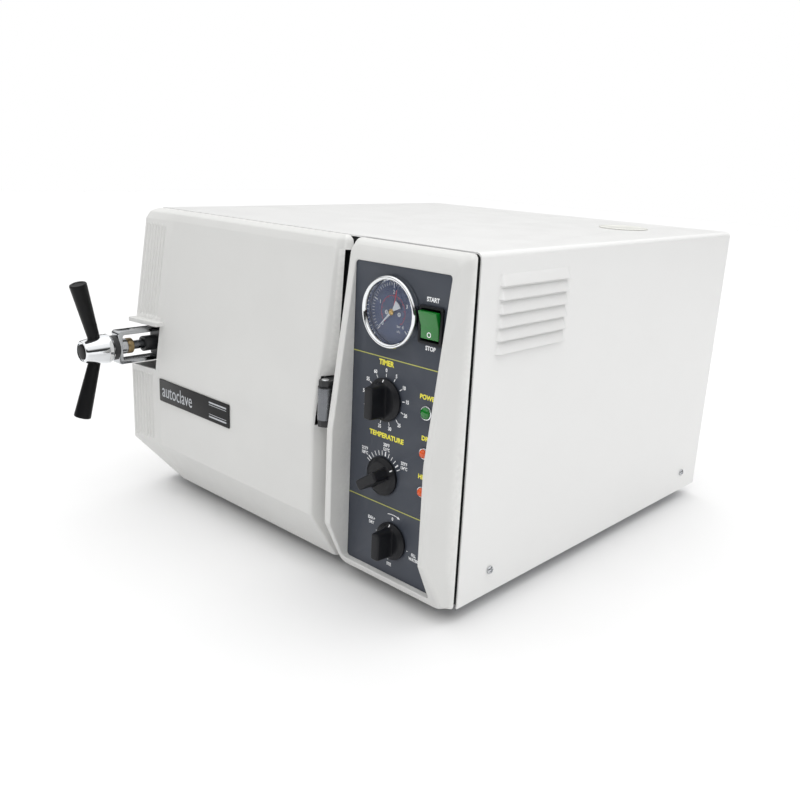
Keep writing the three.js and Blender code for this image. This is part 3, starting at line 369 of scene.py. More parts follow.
class Look:
    """A procedural material, built up in steps around one Principled shader."""

    def __init__(self, name, color, **sockets):
        self.material = bpy.data.materials.new(name)
        self.material.use_nodes = True
        self.tree = self.material.node_tree
        self.shader = self.tree.nodes["Principled BSDF"]
        self.color = color
        self.shader.inputs["Base Color"].default_value = color
        for socket, value in sockets.items():
            self.shader.inputs[socket.replace("_", " ")].default_value = value
        self.place = self.node("ShaderNodeTexCoord").outputs["Object"]

    def node(self, kind, links=None, **settings):
        made = self.tree.nodes.new(kind)
        for key, value in settings.items():
            setattr(made, key, value)
        for socket, source in (links or {}).items():
            if hasattr(source, "is_output"):
                self.tree.links.new(source, made.inputs[socket])
            else:
                made.inputs[socket].default_value = source
        return made

    def noise(self, size, detail=2.0, stretch=(1, 1, 1), vector=None):
        """Noise with patches of about size millimetres, longer along an axis with more stretch."""
        scale = [1 / (size * MM * part) for part in stretch]
        moved = self.node("ShaderNodeMapping", {"Vector": vector or self.place, "Scale": scale})
        links = {"Vector": moved.outputs["Vector"], "Scale": 1.0, "Detail": detail}
        return self.node("ShaderNodeTexNoise", links).outputs["Fac"]

    def spread(self, value, low, high, start=0.3, end=0.7):
        """Takes value from start..end to low..high."""
        links = {"Value": value, "From Min": start, "From Max": end, "To Min": low, "To Max": high}
        return self.node("ShaderNodeMapRange", links, interpolation_type="SMOOTHSTEP").outputs["Result"]

    def mix(self, factor, first, second):
        made = self.node("ShaderNodeMix", data_type="RGBA")
        for index, source in ((0, factor), (6, first), (7, second)):
            if hasattr(source, "is_output"):
                self.tree.links.new(source, made.inputs[index])
            else:
                made.inputs[index].default_value = source
        return made.outputs[2]

    def tint(self, amount, size, detail=3.0):
        """Large soft patches, a little darker and a little lighter than the base colour."""
        darker = [part * (1 - amount) for part in self.color[:3]] + [1.0]
        lighter = [min(1.0, part * (1 + amount)) for part in self.color[:3]] + [1.0]
        self.paint(self.mix(self.spread(self.noise(size, detail), 0, 1), darker, lighter))
        return self

    def paint(self, source):
        self.color_source = source
        self.tree.links.new(source, self.shader.inputs["Base Color"])

    def rough(self, low, high, size, detail=4.0, stretch=(1, 1, 1)):
        """Roughness that wanders between low and high."""
        source = self.spread(self.noise(size, detail, stretch), low, high)
        self.tree.links.new(source, self.shader.inputs["Roughness"])
        return self

    def bump(self, height, size, detail=2.0, stretch=(1, 1, 1), vector=None):
        """Relief of about height millimetres; several calls add up."""
        source = self.noise(size, detail, stretch, vector)
        links = {"Height": source, "Strength": 1.0, "Distance": height * MM}
        if hasattr(self, "relief"):
            links["Normal"] = self.relief
        self.relief = self.node("ShaderNodeBump", links).outputs["Normal"]
        self.tree.links.new(self.relief, self.shader.inputs["Normal"])
        return self

    def wear(self, color, start=0.53, end=0.6, size=6.0):
        """Paint rubbed thin where an edge stands out."""
        edge = self.node("ShaderNodeNewGeometry").outputs["Pointiness"]
        worn = self.spread(edge, 0, 1, start, end)
        patchy = self.node("ShaderNodeMath", {0: worn, 1: self.noise(size, 4.0)}, operation="MULTIPLY")
        self.paint(self.mix(patchy.outputs["Value"], self.color_source, color))
        return self

    def rings(self, centre, axis, height, pitch):
        """Fine turning marks round an axis through centre, in millimetres."""
        middle = [part * MM for part in centre]
        away = self.node("ShaderNodeVectorMath", {0: self.place, 1: middle}, operation="SUBTRACT")
        flat = [0.0 if name == axis else 1.0 for name in "XYZ"]
        across = self.node("ShaderNodeVectorMath", {0: away.outputs[0], 1: flat}, operation="MULTIPLY")
        length = self.node("ShaderNodeVectorMath", {0: across.outputs[0]}, operation="LENGTH")
        radius = length.outputs["Value"]
        parts = self.node("ShaderNodeSeparateXYZ", {0: self.place}).outputs[axis]
        vector = self.node("ShaderNodeCombineXYZ", {0: radius, 1: parts}).outputs[0]
        return self.bump(height, pitch, 3.0, vector=vector)


def paint_look(name, color, rough=(0.34, 0.46), peel=0.035, cloud=0.018, worn=0.82):
    """Powder coat: orange peel, faint cloudiness and edges worn to a darker tone."""
    look = Look(name, color, Coat_Weight=0.12, Coat_Roughness=0.25)
    look.tint(cloud, 90).rough(*rough, 35).bump(peel, 2.6, 2.0).bump(0.006, 0.5)
    return look.wear([part * worn for part in color[:3]] + [1.0]).material


def plastic_look(name, color, rough=(0.4, 0.52), grain=0.02, grain_size=0.7, tint=0.02, **sockets):
    """Moulded plastic: a fine spark-eroded texture and slight handling marks."""
    look = Look(name, color, **sockets)
    look.tint(tint, 60).rough(*rough, 22).bump(grain, grain_size, 3.0).bump(0.04, 45)
    return look.wear([min(1.0, part * 1.25 + 0.01) for part in color[:3]] + [1.0], size=4.0).material


def metal_look(name, color, rough, grain=0.01, grain_size=0.4, stretch=(1, 1, 1), tint=0.05, **sockets):
    """Bare or plated metal, with a lay of fine scratches along the stretched axis."""
    look = Look(name, color, **{"Metallic": 1.0, **sockets})
    look.tint(tint, 30).rough(*rough, 9, stretch=stretch).bump(grain, grain_size, 4.0, stretch)
    return look.material


PRINT_FILM = {"rough": (0.4, 0.5), "grain": 0.004}
LENS_FILM = {"rough": (0.08, 0.16), "grain": 0.004, "Coat_Weight": 0.4, "IOR": 1.49}

LOOKS = {
    "cover": paint_look("powder_coat_white", tone(232, 232, 231), rough=(0.38, 0.43), cloud=0.004, worn=0.96),
    "shell": plastic_look("moulded_light_grey", tone(214, 214, 212), tint=0.008),
    "frame": paint_look("black_paint", tone(34, 35, 37), rough=(0.38, 0.52)),
    "black": plastic_look(
        "black_plastic", tone(19, 20, 24), rough=(0.3, 0.42), grain=0.012, Specular_IOR_Level=0.3,
    ),
    "grip": plastic_look(
        "black_phenolic", tone(5, 5, 7), rough=(0.34, 0.44), grain=0.006, Specular_IOR_Level=0.22,
    ),
    "fascia": plastic_look("fascia_film", tone(62, 67, 77), rough=(0.42, 0.5), grain=0.012, grain_size=0.5),
    "chrome": metal_look(
        "chrome_plate", tone(238, 240, 242), (0.035, 0.075), grain=0.0012, grain_size=6, tint=0.01,
    ),
    "steel": metal_look("sheet_steel", tone(190, 193, 197), (0.28, 0.42), stretch=(1, 14, 1)),
    "polished": metal_look(
        "polished_steel", tone(196, 198, 201), (0.12, 0.18), grain=0.004, stretch=(1, 1, 10), tint=0.015,
    ),
    "brass": metal_look("brass", tone(193, 160, 96), (0.22, 0.36), tint=0.12),
    "copper": metal_look("copper", tone(190, 124, 86), (0.26, 0.42), tint=0.16),
    "bronze": metal_look("bronze", tone(150, 130, 96), (0.3, 0.42), tint=0.12),
    "rod": metal_look("dark_rod", tone(120, 122, 126), (0.24, 0.34), grain=0.003),
    "rubber": plastic_look("foot_rubber", tone(38, 38, 38), rough=(0.72, 0.86), grain=0.05, grain_size=0.9),
    "silicone": plastic_look("silicone", tone(214, 208, 194), rough=(0.5, 0.62), Subsurface_Weight=0.15),
    "wool": plastic_look(
        "mineral_wool", tone(214, 205, 170), rough=(0.9, 1.0), grain=1.2, grain_size=3, tint=0.2,
    ),
    "tank": plastic_look("tank_plastic", tone(236, 236, 230), rough=(0.36, 0.46), Transmission_Weight=0.15),
    "red": plastic_look("red_plastic", tone(178, 36, 30), rough=(0.3, 0.4)),
    "white_print": plastic_look("white_print", tone(240, 242, 245), **PRINT_FILM),
    "yellow_print": plastic_look("yellow_print", tone(232, 222, 64), **PRINT_FILM),
    "line_print": plastic_look("line_print", tone(176, 178, 84), **PRINT_FILM),
    "red_print": plastic_look("red_print", tone(206, 60, 80), **PRINT_FILM),
    # The dial's colour is its own dark blue, lightened to paint in the sheen that the gauge glass reflects
    # over it.
    "dial": plastic_look("dial_blue_with_painted_sheen", tone(70, 84, 120), rough=(0.25, 0.34), grain=0.004, tint=0.06),
    "nameplate": plastic_look(
        "nameplate_black", tone(5, 5, 6), rough=(0.3, 0.4), grain=0.006, Specular_IOR_Level=0.3,
    ),
    "green": plastic_look(
        "green_lens", tone(20, 128, 42), tint=0.12, Transmission_Weight=0.25, **LENS_FILM,
    ),
    "orange": plastic_look(
        "orange_lens", tone(244, 96, 34), tint=0.1, Transmission_Weight=0.2, **LENS_FILM,
    ),
    "glass": metal_look(
        "gauge_glass", tone(250, 252, 255), (0.0, 0.03), grain=0.0006, grain_size=8, tint=0.0,
        Metallic=0.0, Transmission_Weight=1.0, IOR=1.3,
    ),
}

# ---------------------------------------------------------------- cabinet

SHEET = 1.5
BEND = 6.0


LOUVRES = {"front": FRONT + 28, "back": FRONT + 143, "low": 266.0, "pitch": 12.65, "count": 6}
SCREW_HOLE = 2.6


def louvre_heights():
    """The heights of the louvres' lower edges."""
    return [LOUVRES["low"] + LOUVRES["pitch"] * i for i in range(LOUVRES["count"])]


def louvre_hood(shape, side, low):
    """One pressed hood: proud at its lower edge, fading into the sheet at its top and ends."""
    y0, y1 = LOUVRES["front"], LOUVRES["back"]
    end, rise, proud, gauge = 7.0, 10.5, 3.9, 1.1
    ys = np.concatenate([np.linspace(y0, y0 + end, 9), np.linspace(y1 - end, y1, 9)])
    heights = np.linspace(0, 1, 9)

    def stand(y, v):
        edge = min(y - y0, y1 - y) - 2.5 * v
        across = np.clip(edge / (end - 3), 0, 1)
        return proud * (across * across * (3 - 2 * across)) * (1 - v) ** 0.85

    rows = []
    for y in ys:
        outer = [(side * (SIDE + stand(y, v)), y, low + rise * v) for v in heights]
        inner = [(side * (SIDE + stand(y, v) - gauge), y, low + (rise - 0.6) * v) for v in heights[::-1]]
        rows.append(outer + inner)
    shape.grid(rows, wrap_columns=True)
    shape.cap(rows[0])
    shape.cap(rows[-1])


def build_cover():
    low, high = COVER.z0, COVER.z1
    section = rounded([
        (SIDE, low), (SIDE, high, BEND), (-SIDE, high, BEND), (-SIDE, low),
        (-SIDE + SHEET, low), (-SIDE + SHEET, high - SHEET, BEND - SHEET),
        (SIDE - SHEET, high - SHEET, BEND - SHEET), (SIDE - SHEET, low),
    ], steps=12)
    sheet = Shape()
    stack(sheet, [section], "Y", [(COVER.y0, 0.0), (COVER.y1, 0.0)])
    cutter = Shape()
    for side in (-1, 1):
        near, far = sorted((side * (SIDE - 4), side * (SIDE + 4)))
        for height in louvre_heights():
            slot = box_outline(LOUVRES["front"] + 3, height + 0.6, LOUVRES["back"] - 3, height + 7.5, 2.0)
            stack(cutter, [slot], "X", [(near, 0), (far, 0)])
        for end in ("front", "rear"):
            screw = Span(f"cover_screw_{end}_{'left' if side < 0 else 'right'}")
            stack(cutter, [circle(screw.y, screw.z, SCREW_HOLE, 24)], "X", [(near, 0), (far, 0)])
    lid = Span("reservoir_lid")
    stack(cutter, [circle(lid.x, lid.y, 23.5)], "Z", [(high - 8, 0), (high + 8, 0)])
    mesh = carve(sheet.mesh("cover"), cutter.mesh("slots"))
    cover = Shape().take(mesh, TO_MM)
    add("outer_cover_sheet", cover.mesh("outer_cover_sheet"), "outer_cover", LOOKS["cover"], bevel=0.45)
    hoods = Shape()
    for side in (-1, 1):
        for height in louvre_heights():
            louvre_hood(hoods, side, height)
    add("cover_louvres", hoods.mesh("cover_louvres", 50), "outer_cover", LOOKS["cover"], stands_for=False)


def rimmed_panel(node, holes, face, rim, material):
    """A flat panel with holes and a turned rim; face and rim are (front, back)."""
    span = Span(node)
    edge = box_outline(span.x0, span.z0, span.x1, span.z1, 4)
    inner = box_outline(span.x0 + SHEET, span.z0 + SHEET, span.x1 - SHEET, span.z1 - SHEET, 3)
    shape = Shape()
    stack(shape, [edge, *holes], "Y", slab(*face, 0.3))
    stack(shape, [edge, inner], "Y", slab(*rim, 0.3))
    add(f"{node}_sheet", shape.mesh(node), node, material)


def build_front_frame():
    span = Span("front_frame")
    chamber = Span("chamber")
    mouth = circle(chamber.x, chamber.z, chamber.width / 2 + 1.5, 128)
    low, high, front = 30, 344, span.y0
    controls = box_outline(FASCIA.x0 + 1, low, FASCIA.x1 + 1, high, 5)
    rimmed_panel("front_frame", [mouth, controls], (front, front + 2), (front + 1.5, span.y1), LOOKS["frame"])


def build_rear_panel():
    span = Span("rear_panel")
    inlet, relief, cutout = Span("power_inlet"), Span("safety_valve"), Span("thermal_cutout")
    holes = [
        box_outline(inlet.x0 + 2, inlet.z0 + 2, inlet.x1 - 2, inlet.z1 - 2, 0.5),
        circle(relief.x, relief.z, 8.5),
        circle(cutout.x, cutout.z, 8.5),
    ]
    vents = {"left": 130, "right": 210, "low": 116, "pitch": 16, "high": 5, "count": 6}
    for i in range(vents["count"]):
        low = vents["low"] + vents["pitch"] * i
        holes.append(box_outline(vents["left"], low, vents["right"], low + vents["high"], 2.4))
    back = span.y1
    rimmed_panel("rear_panel", holes, (back - 2, back), (span.y0, back - 1.5), LOOKS["cover"])


def build_feet():
    for corner in ("front_left", "front_right", "rear_left", "rear_right"):
        span = Span(f"foot_{corner}")
        top, wide = span.z1, span.width / 2
        profile = rounded([
            (0, 1.0), (5, 1.0, 0.4), (5.6, 0, 0.4), (wide - 3, 0, 1.2), (wide - 1.6, 2.2, 0.8),
            (wide - 1.1, 6.0), (wide - 1.7, 6.6), (wide - 1.7, 7.4), (wide - 1.0, 8.0), (wide, top, 0.8),
            (0, top),
        ], steps=4)
        turned(f"foot_{corner}_rubber", profile, (span.x, span.y), f"foot_{corner}", LOOKS["rubber"], "Z")


def build_screws():
    """Pan-head screws with a cross recess."""
    arm, half, recess, shank = 2.9, 0.6, 1.1, 2.1
    corners = [Vector((half, arm)), Vector((-half, arm)), Vector((-half, half))]
    quarters = [Matrix.Rotation(math.radians(20 + 90 * quarter), 2) for quarter in range(4)]
    cross = [turn @ corner for turn in quarters for corner in corners]
    for side_name, side in (("left", -1), ("right", 1)):
        for end in ("front", "rear"):
            node = f"cover_screw_{end}_{side_name}"
            span = Span(node)
            head, tip = (span.x1, span.x0) if side > 0 else (span.x0, span.x1)
            wide, seat = span.depth / 2, head - side * 2.9
            crown = dome(wide, head, -side * 2.6, 1.45, 9)
            profile = [*crown, (wide, seat), (shank, seat), (shank, tip), (0, tip)]
            body = lathe(Shape(), profile, (span.y, span.z), "X", 48, closed=False).mesh(node)
            outline = [point + Vector((span.y, span.z)) for point in cross]
            near, far = sorted((head - side * recess, head + side * 2))
            cutter = stack(Shape(), [outline], "X", [(near, 0), (far, 0)])
            add(f"{node}_steel", carve(body, cutter.mesh("cross")), node, LOOKS["polished"])


# ---------------------------------------------------------------- chamber and tank


def build_chamber():
    span, wool = Span("chamber"), Span("chamber_insulation")
    centre = (span.x, span.z)
    flange, outer, inner, sleeve = span.width / 2, 129.5, 127.0, 130.5
    front, back = span.y0, span.y1
    profile = rounded([
        (0, back), (80, back, 30), (116, back - 7, 16), (outer, back - 24, 12), (outer, front + 10, 1),
        (flange, front + 10, 1), (flange, front, 1.5), (inner, front, 2.5), (inner, back - 25, 12),
        (114, back - 9.5, 14), (79, back - 2.5, 30), (0, back - 2.5),
    ], steps=8)
    look = Look("drawn_steel", tone(196, 199, 203), Metallic=1.0)
    look.tint(0.06, 40).rough(0.2, 0.34, 12, stretch=(1, 8, 1))
    look.rings((span.x, span.y, span.z), "Y", 0.012, 0.8)
    turned("chamber_vessel", profile, centre, "chamber", look.material, sides=160)
    wide = wool.width / 2
    ring = rounded([(sleeve, wool.y0, 2), (wide, wool.y0, 5), (wide, wool.y1, 5), (sleeve, wool.y1, 2)])
    turned("chamber_wool", ring, centre, "chamber_insulation", LOOKS["wool"])


def build_trays():
    """Deep-drawn trays: rounded walls that lean out to a rolled rim."""
    for level in ("lower", "upper"):
        node = f"tray_{level}"
        span = Span(node)
        low, top = span.z0, span.z1
        left, right = span.x0 + 9, span.x1 - 9
        shape = Shape()

        def loop(grow, radius, z, left=left, right=right, span=span):
            y0, y1 = span.y0 + max(0, -grow), span.y1 - max(0, -grow)
            outline = box_outline(left - grow, y0, right + grow, y1, radius, 8)
            return [(x, y, z) for x, y in outline]

        levels = [
            (-6, 6, low), (-2, 9, low + 0.8), (-0.3, 11, low + 3), (0, 12, top - 2.2), (1.0, 12, top - 1.3),
            (8.5, 12, top - 1.3), (9, 12, top - 0.6), (8.5, 12, top), (0.6, 12, top), (-1.2, 11, top - 1.4),
            (-1.5, 10, low + 4), (-3, 8, low + 2), (-6.5, 6, low + 1.2),
        ]
        rows = [loop(*level) for level in levels]
        shape.grid(rows, wrap_columns=True)
        shape.cap(rows[0])
        shape.cap(rows[-1])
        add(f"{node}_pan", shape.mesh(node, 40), node, LOOKS["polished"])


def build_lid():
    span = Span("reservoir_lid")
    wide, top, seat = span.width / 2, span.z1, COVER.z1 + 0.3

    def ribs(turn, along):
        return 0.35 * (0.5 + 0.5 * math.cos(60 * turn)) if seat < along < top - 0.1 else 0

    profile = rounded([
        (0, span.z0), (18.4, span.z0, 0.6), (18.6, seat - 1), (22, seat), (wide, seat, 0.2),
        (wide, top - 0.5, 0.4), (wide - 1.2, top, 0.4), (wide - 6, top, 0.5), (wide - 7, top - 0.5, 0.4),
        (0, top - 0.5),
    ], steps=4)
    turned("reservoir_lid_cap", profile, (span.x, span.y), "reservoir_lid", LOOKS["tank"], "Z", 240, ribs)


def build_safety_valve():
    """The valve's brass body with its hexagon, and the pull ring on its stem."""
    wall = Span("rear_panel").y1
    valve, ring = Span("safety_valve"), Span("safety_valve_ring")
    profile = rounded([
        (2.6, valve.y0), (8, valve.y0, 0.6), (8, wall + 0.3), (11, wall + 0.3), (11, wall + 4.2, 0.8),
        (8.2, wall + 4.8, 0.5), (7, wall + 5.4, 0.5), (7, valve.y1, 0.7), (2.6, valve.y1),
    ], steps=4)

    def flats(turn, along):
        if not wall + 0.2 < along < wall + 4.6:
            return 0
        return 1.4 * (1 - math.cos((turn % (math.pi / 3)) - math.pi / 6)) * 8

    turned("safety_valve_brass", profile, (valve.x, valve.z), "safety_valve", LOOKS["brass"], scallop=flats)
    hoop, wire, reach = 7.0, 1.5, 6.2
    middle = Vector((ring.x, ring.y1 - hoop - wire, ring.z))
    rows = []
    for turn in (2 * math.pi * i / 64 for i in range(64)):
        out = Vector((0, math.cos(turn), math.sin(turn)))
        rows.append([
            middle + hoop * out + wire * (math.cos(a) * out + math.sin(a) * Vector((1, 0, 0)))
            for a in (2 * math.pi * i / 16 for i in range(16))
        ])
    shape = Shape().grid(rows, wrap_rows=True, wrap_columns=True)
    end = middle.y - reach
    stem = rounded([(0, ring.y0), (2.1, ring.y0, 0.4), (2.1, end, 0.5), (0, end)])
    lathe(shape, stem, (ring.x, ring.z), sides=32)
    add("safety_valve_pull", shape.mesh("pull"), "safety_valve_ring", LOOKS["chrome"])


def build_thermal_cutout():
    """The cut-out's knurled collar and its red reset button."""
    wall = Span("rear_panel").y1
    cutout, button = Span("thermal_cutout"), Span("reset_button")
    centre = (cutout.x, cutout.z)
    profile = rounded([
        (0, cutout.y0), (14, cutout.y0, 1), (14, wall - 2.5, 0.4), (8, wall - 2.5), (8, cutout.y1, 0.7),
        (5.4, cutout.y1, 0.4), (5.4, wall - 12), (0, wall - 12),
    ])

    def knurl(turn, along):
        return 0.3 * (0.5 + 0.5 * math.cos(36 * turn)) if along > wall - 1 else 0

    turned("thermal_cutout_body", profile, centre, "thermal_cutout", LOOKS["black"], "Y", 144, knurl)
    wide = button.width / 2
    profile = rounded([
        (0, button.y0), (wide, button.y0, 0.3), (wide, button.y1 - 0.5, 0.8), (wide - 1.4, button.y1, 0.6),
        (0, button.y1 - 0.5),
    ])
    turned("reset_button_cap", profile, centre, "reset_button", LOOKS["red"], sides=48)


# ---------------------------------------------------------------- front face

BAND_LOW = 68.0
BAND_TOP = 168.0
SHOULDER = BEZEL.z1 - 12.3
DOOR_LIP = 12.5
PANEL_LIP = 17.0
TOP_LIP = 14.5
WALL = 3.0


def face_profile(lip):
    """(y, z) down the front of the door or the panel, from the cabinet's top edge to its bottom edge."""
    high, low, back = BEZEL.z1, BEZEL.z0, DOOR.y1
    return rounded([
        (back, high), (FRONT - 6, high, 4), (FRONT - 11.5, high - 3.9, 5), (FRONT - TOP_LIP, SHOULDER, 9),
        (BEZEL.y0, BAND_TOP, 60), (BEZEL.y0, BAND_LOW, 5), (FRONT - lip, low, 2), (back, low),
    ], closed=False, steps=8)


def with_levels(profile, heights):
    """The profile with extra points where it crosses the given heights."""
    out = [profile[0]]
    for start, end in zip(profile, profile[1:]):
        inside = [z for z in heights if end[1] < z - 0.01 and z + 0.01 < start[1]]
        for z in sorted(inside, reverse=True):
            out.append(start.lerp(end, (start[1] - z) / (start[1] - end[1])))
        out.append(end)
    return out


FACE = face_profile(DOOR_LIP)
PANEL_FACE = face_profile(PANEL_LIP)


def face_depth(z, profile=FACE):
    """How far forward the front stands at height z."""
    heights, depths = [point[1] for point in profile][::-1], [point[0] for point in profile][::-1]
    return float(np.interp(z, heights[1:-1], depths[1:-1]))


CREASE = {"left": -201.0, "right": 83.5, "lower": 9.0, "top_left": 12.0, "top_right": 8.0}
STRIP = {"right": -205.5, "low": 8.5, "high": 7.0}
FLUTES = {"left": -254.5, "right": -217.5, "count": 7, "deep": 2.2}
NOTCH = {"right": -211.0, "low": 165.0, "high": 220.0}
HINGE_GAP = {"left": 85.0, "low": 167.5, "high": 218.5}
WALL_SLOT = {"front": FRONT - 13.5, "high": 345.0}


def fluting(x, z):
    """Depth of the door's vertical flutes, which fade out at their ends."""
    stops = [(BAND_LOW + 5, NOTCH["low"] - 6), (NOTCH["high"] + 9, SHOULDER - 6)]
    fade = max(np.clip(min(z - low, high - z) / 3, 0, 1) for low, high in stops)
    across = (x - FLUTES["left"]) / (FLUTES["right"] - FLUTES["left"]) * FLUTES["count"]
    if not 0 < across < FLUTES["count"]:
        return 0.0
    return FLUTES["deep"] * fade * (0.5 - 0.5 * math.cos(2 * math.pi * across)) ** 1.6


def door_row(y, z):
    """One horizontal section of the door, from its left edge round the front to its right edge."""
    back, left_turn, right_turn = DOOR.y1, CREASE["top_left"], CREASE["top_right"]
    stand = max(0.05, back - y)
    y = back - stand
    down = np.clip((BAND_LOW - z) / (BAND_LOW - DOOR.z0), 0, 1)
    near_top = max(0.0, z - (DOOR.z1 - left_turn))
    left = DOOR.x0 + 1 + left_turn - math.sqrt(max(0.0, left_turn**2 - near_top**2))
    right_top = max(0.0, z - (DOOR.z1 - right_turn))
    right = DOOR.x1 - right_turn + math.sqrt(max(0.0, right_turn**2 - right_top**2))
    crease = left + (CREASE["left"] - left) * down
    forward = np.interp(z, [BAND_TOP, SHOULDER], [STRIP["low"], STRIP["high"]])
    forward *= min(1.0, stand / 14) * (1 - down)
    strip = STRIP["right"] + (CREASE["left"] + 1.5 - STRIP["right"]) * down
    turn = min(CREASE["right"] + CREASE["lower"] * down, right - 1)
    bend = min(3.0, stand * 0.4)
    line = [
        (left, back), (crease, y - forward, bend), (strip, y, 6), (turn, y, min(4.0, stand * 0.4)),
        (right, back),
    ]
    path = rounded(line, closed=False, steps=6)
    wall, corner, ridge, last = path[0], path[1:8], path[8:15], path[15:22]
    row = [wall.lerp(corner[0], t) for t in np.linspace(0, 1, 4)[:-1]] + corner
    span = ridge[0] - corner[-1]
    for t in np.linspace(0, 1, 74)[1:-1]:
        point = corner[-1] + span * t
        row.append(Vector((point.x, point.y + fluting(point.x, z))))
    row += ridge
    row += [Vector((x, y)) for x in (strip + 5, -190, -60, 70)]
    reach = (WALL_SLOT["front"] - last[-1].y) / (path[-1].y - last[-1].y)
    reach = reach if 0.1 < reach < 0.9 else 0.5
    row += last + [last[-1].lerp(path[-1], t) for t in (reach / 2, reach, 1)]
    return [(point.x, point.y, z) for point in row]


def build_door():
    flute_ends = [BAND_LOW + 5, BAND_LOW + 8, NOTCH["low"] - 9, NOTCH["low"] - 6, SHOULDER - 9, SHOULDER - 6]
    levels = [NOTCH["low"], NOTCH["high"], NOTCH["high"] + 9, NOTCH["high"] + 12]
    levels += [HINGE_GAP["low"], HINGE_GAP["high"], WALL_SLOT["high"]]
    profile = with_levels(FACE, sorted(set(levels + flute_ends)))
    rows = [door_row(y, z) for y, z in profile]
    heights = [z for _, z in profile]
    xs = [point[0] for point in rows[len(rows) // 2]]
    notch_column = min(range(len(xs)), key=lambda j: abs(xs[j] - NOTCH["right"]))
    hinge_column = min(range(len(xs)), key=lambda j: abs(xs[j] - HINGE_GAP["left"]))

    def open_cell(i, j):
        middle = (heights[i] + heights[i + 1]) / 2
        in_notch = j < notch_column and NOTCH["low"] < middle < NOTCH["high"]
        in_hinge = j >= hinge_column and HINGE_GAP["low"] < middle < HINGE_GAP["high"]
        in_slot = j == len(xs) - 2 and HINGE_GAP["high"] < middle < WALL_SLOT["high"]
        return in_notch or in_hinge or in_slot

    mesh = Shape().grid(rows, skip=open_cell).mesh("door", 24)
    if sum(face.normal.y for face in mesh.polygons) > 0:
        mesh.flip_normals()
    door = add("door_cover_shell", mesh, "door_cover", LOOKS["shell"])
    thick = door.modifiers.new("wall", "SOLIDIFY")
    thick.thickness = WALL * MM
    thick.offset = -1
    soften(door, 0.5, 2, 50)


def build_hood():
    """The ledge over the closing device, which grows out of the strip and narrows a little to the front."""
    ledge = NOTCH["high"]
    sheet, front_left, front_right = 5.5, FRONT - 50, FRONT - 43.5
    behind = face_depth(ledge) + 1
    right = STRIP["right"] + 0.5
    outline = rounded([
        (DOOR.x0, behind - STRIP["high"]), (DOOR.x0, front_left, 1.5), (right, front_right, 2.5),
        (right, behind),
    ])
    shape = stack(Shape(), [outline], "Z", slab(ledge, ledge + sheet, 0.9, 4))
    add("door_hood", shape.mesh("hood"), "door_cover", LOOKS["shell"], stands_for=False)


WINDOW = {"x0": BEZEL.x0 + 14, "x1": BEZEL.x1 - 18.5, "z0": 26.0, "z1": 339.0, "radius": 4.0}


def bezel_loop(x0, x1, z0, z1, radius, top_left):
    """Points round a rounded rectangle, level with the same points of every other loop of the bezel."""
    sides_z = np.unique(np.concatenate([
        np.linspace(36, BAND_LOW - 6, 4), np.linspace(BAND_LOW - 6, BAND_LOW + 6, 17),
        np.linspace(BAND_LOW + 6, BAND_TOP - 12, 6), np.linspace(BAND_TOP - 12, BAND_TOP + 12, 17),
        np.linspace(BAND_TOP + 12, 331, 8),
    ]))
    sides_x = np.linspace(WINDOW["x0"] + 8, WINDOW["x1"] - 8, 6)

    def corner(x, z, sx, sz, radius=radius):
        """From the straight part of one side to that of the next, round one corner."""
        edge_x, edge_z = (x1 if sx > 0 else x0), (z1 if sz > 0 else z0)
        path = [Vector((edge_x, z)), Vector((edge_x, edge_z - sz * radius))]
        for step in range(1, 12):
            turn = math.pi / 2 * step / 12
            path.append(Vector((
                edge_x - sx * radius * (1 - math.cos(turn)), edge_z - sz * radius * (1 - math.sin(turn)),
            )))
        path += [Vector((edge_x - sx * radius, edge_z)), Vector((x, edge_z))]
        lengths = np.cumsum([0] + [(b - a).length for a, b in zip(path, path[1:])])
        marks = np.linspace(0, lengths[-1], 18)[1:-1]
        return list(zip(
            np.interp(marks, lengths, [p.x for p in path]), np.interp(marks, lengths, [p.y for p in path]),
        ))

    left = [(x0, z) for z in sides_z]
    top = [(x, z1) for x in sides_x]
    right = [(x1, z) for z in sides_z[::-1]]
    bottom = [(x, z0) for x in sides_x[::-1]]
    loop = left + corner(sides_x[0], sides_z[-1], -1, 1, top_left)
    loop += top + corner(sides_x[-1], sides_z[-1], 1, 1)[::-1]
    loop += right + corner(sides_x[-1], sides_z[0], 1, -1)
    loop += bottom + corner(sides_x[0], sides_z[0], -1, -1)[::-1]
    return np.array(loop)


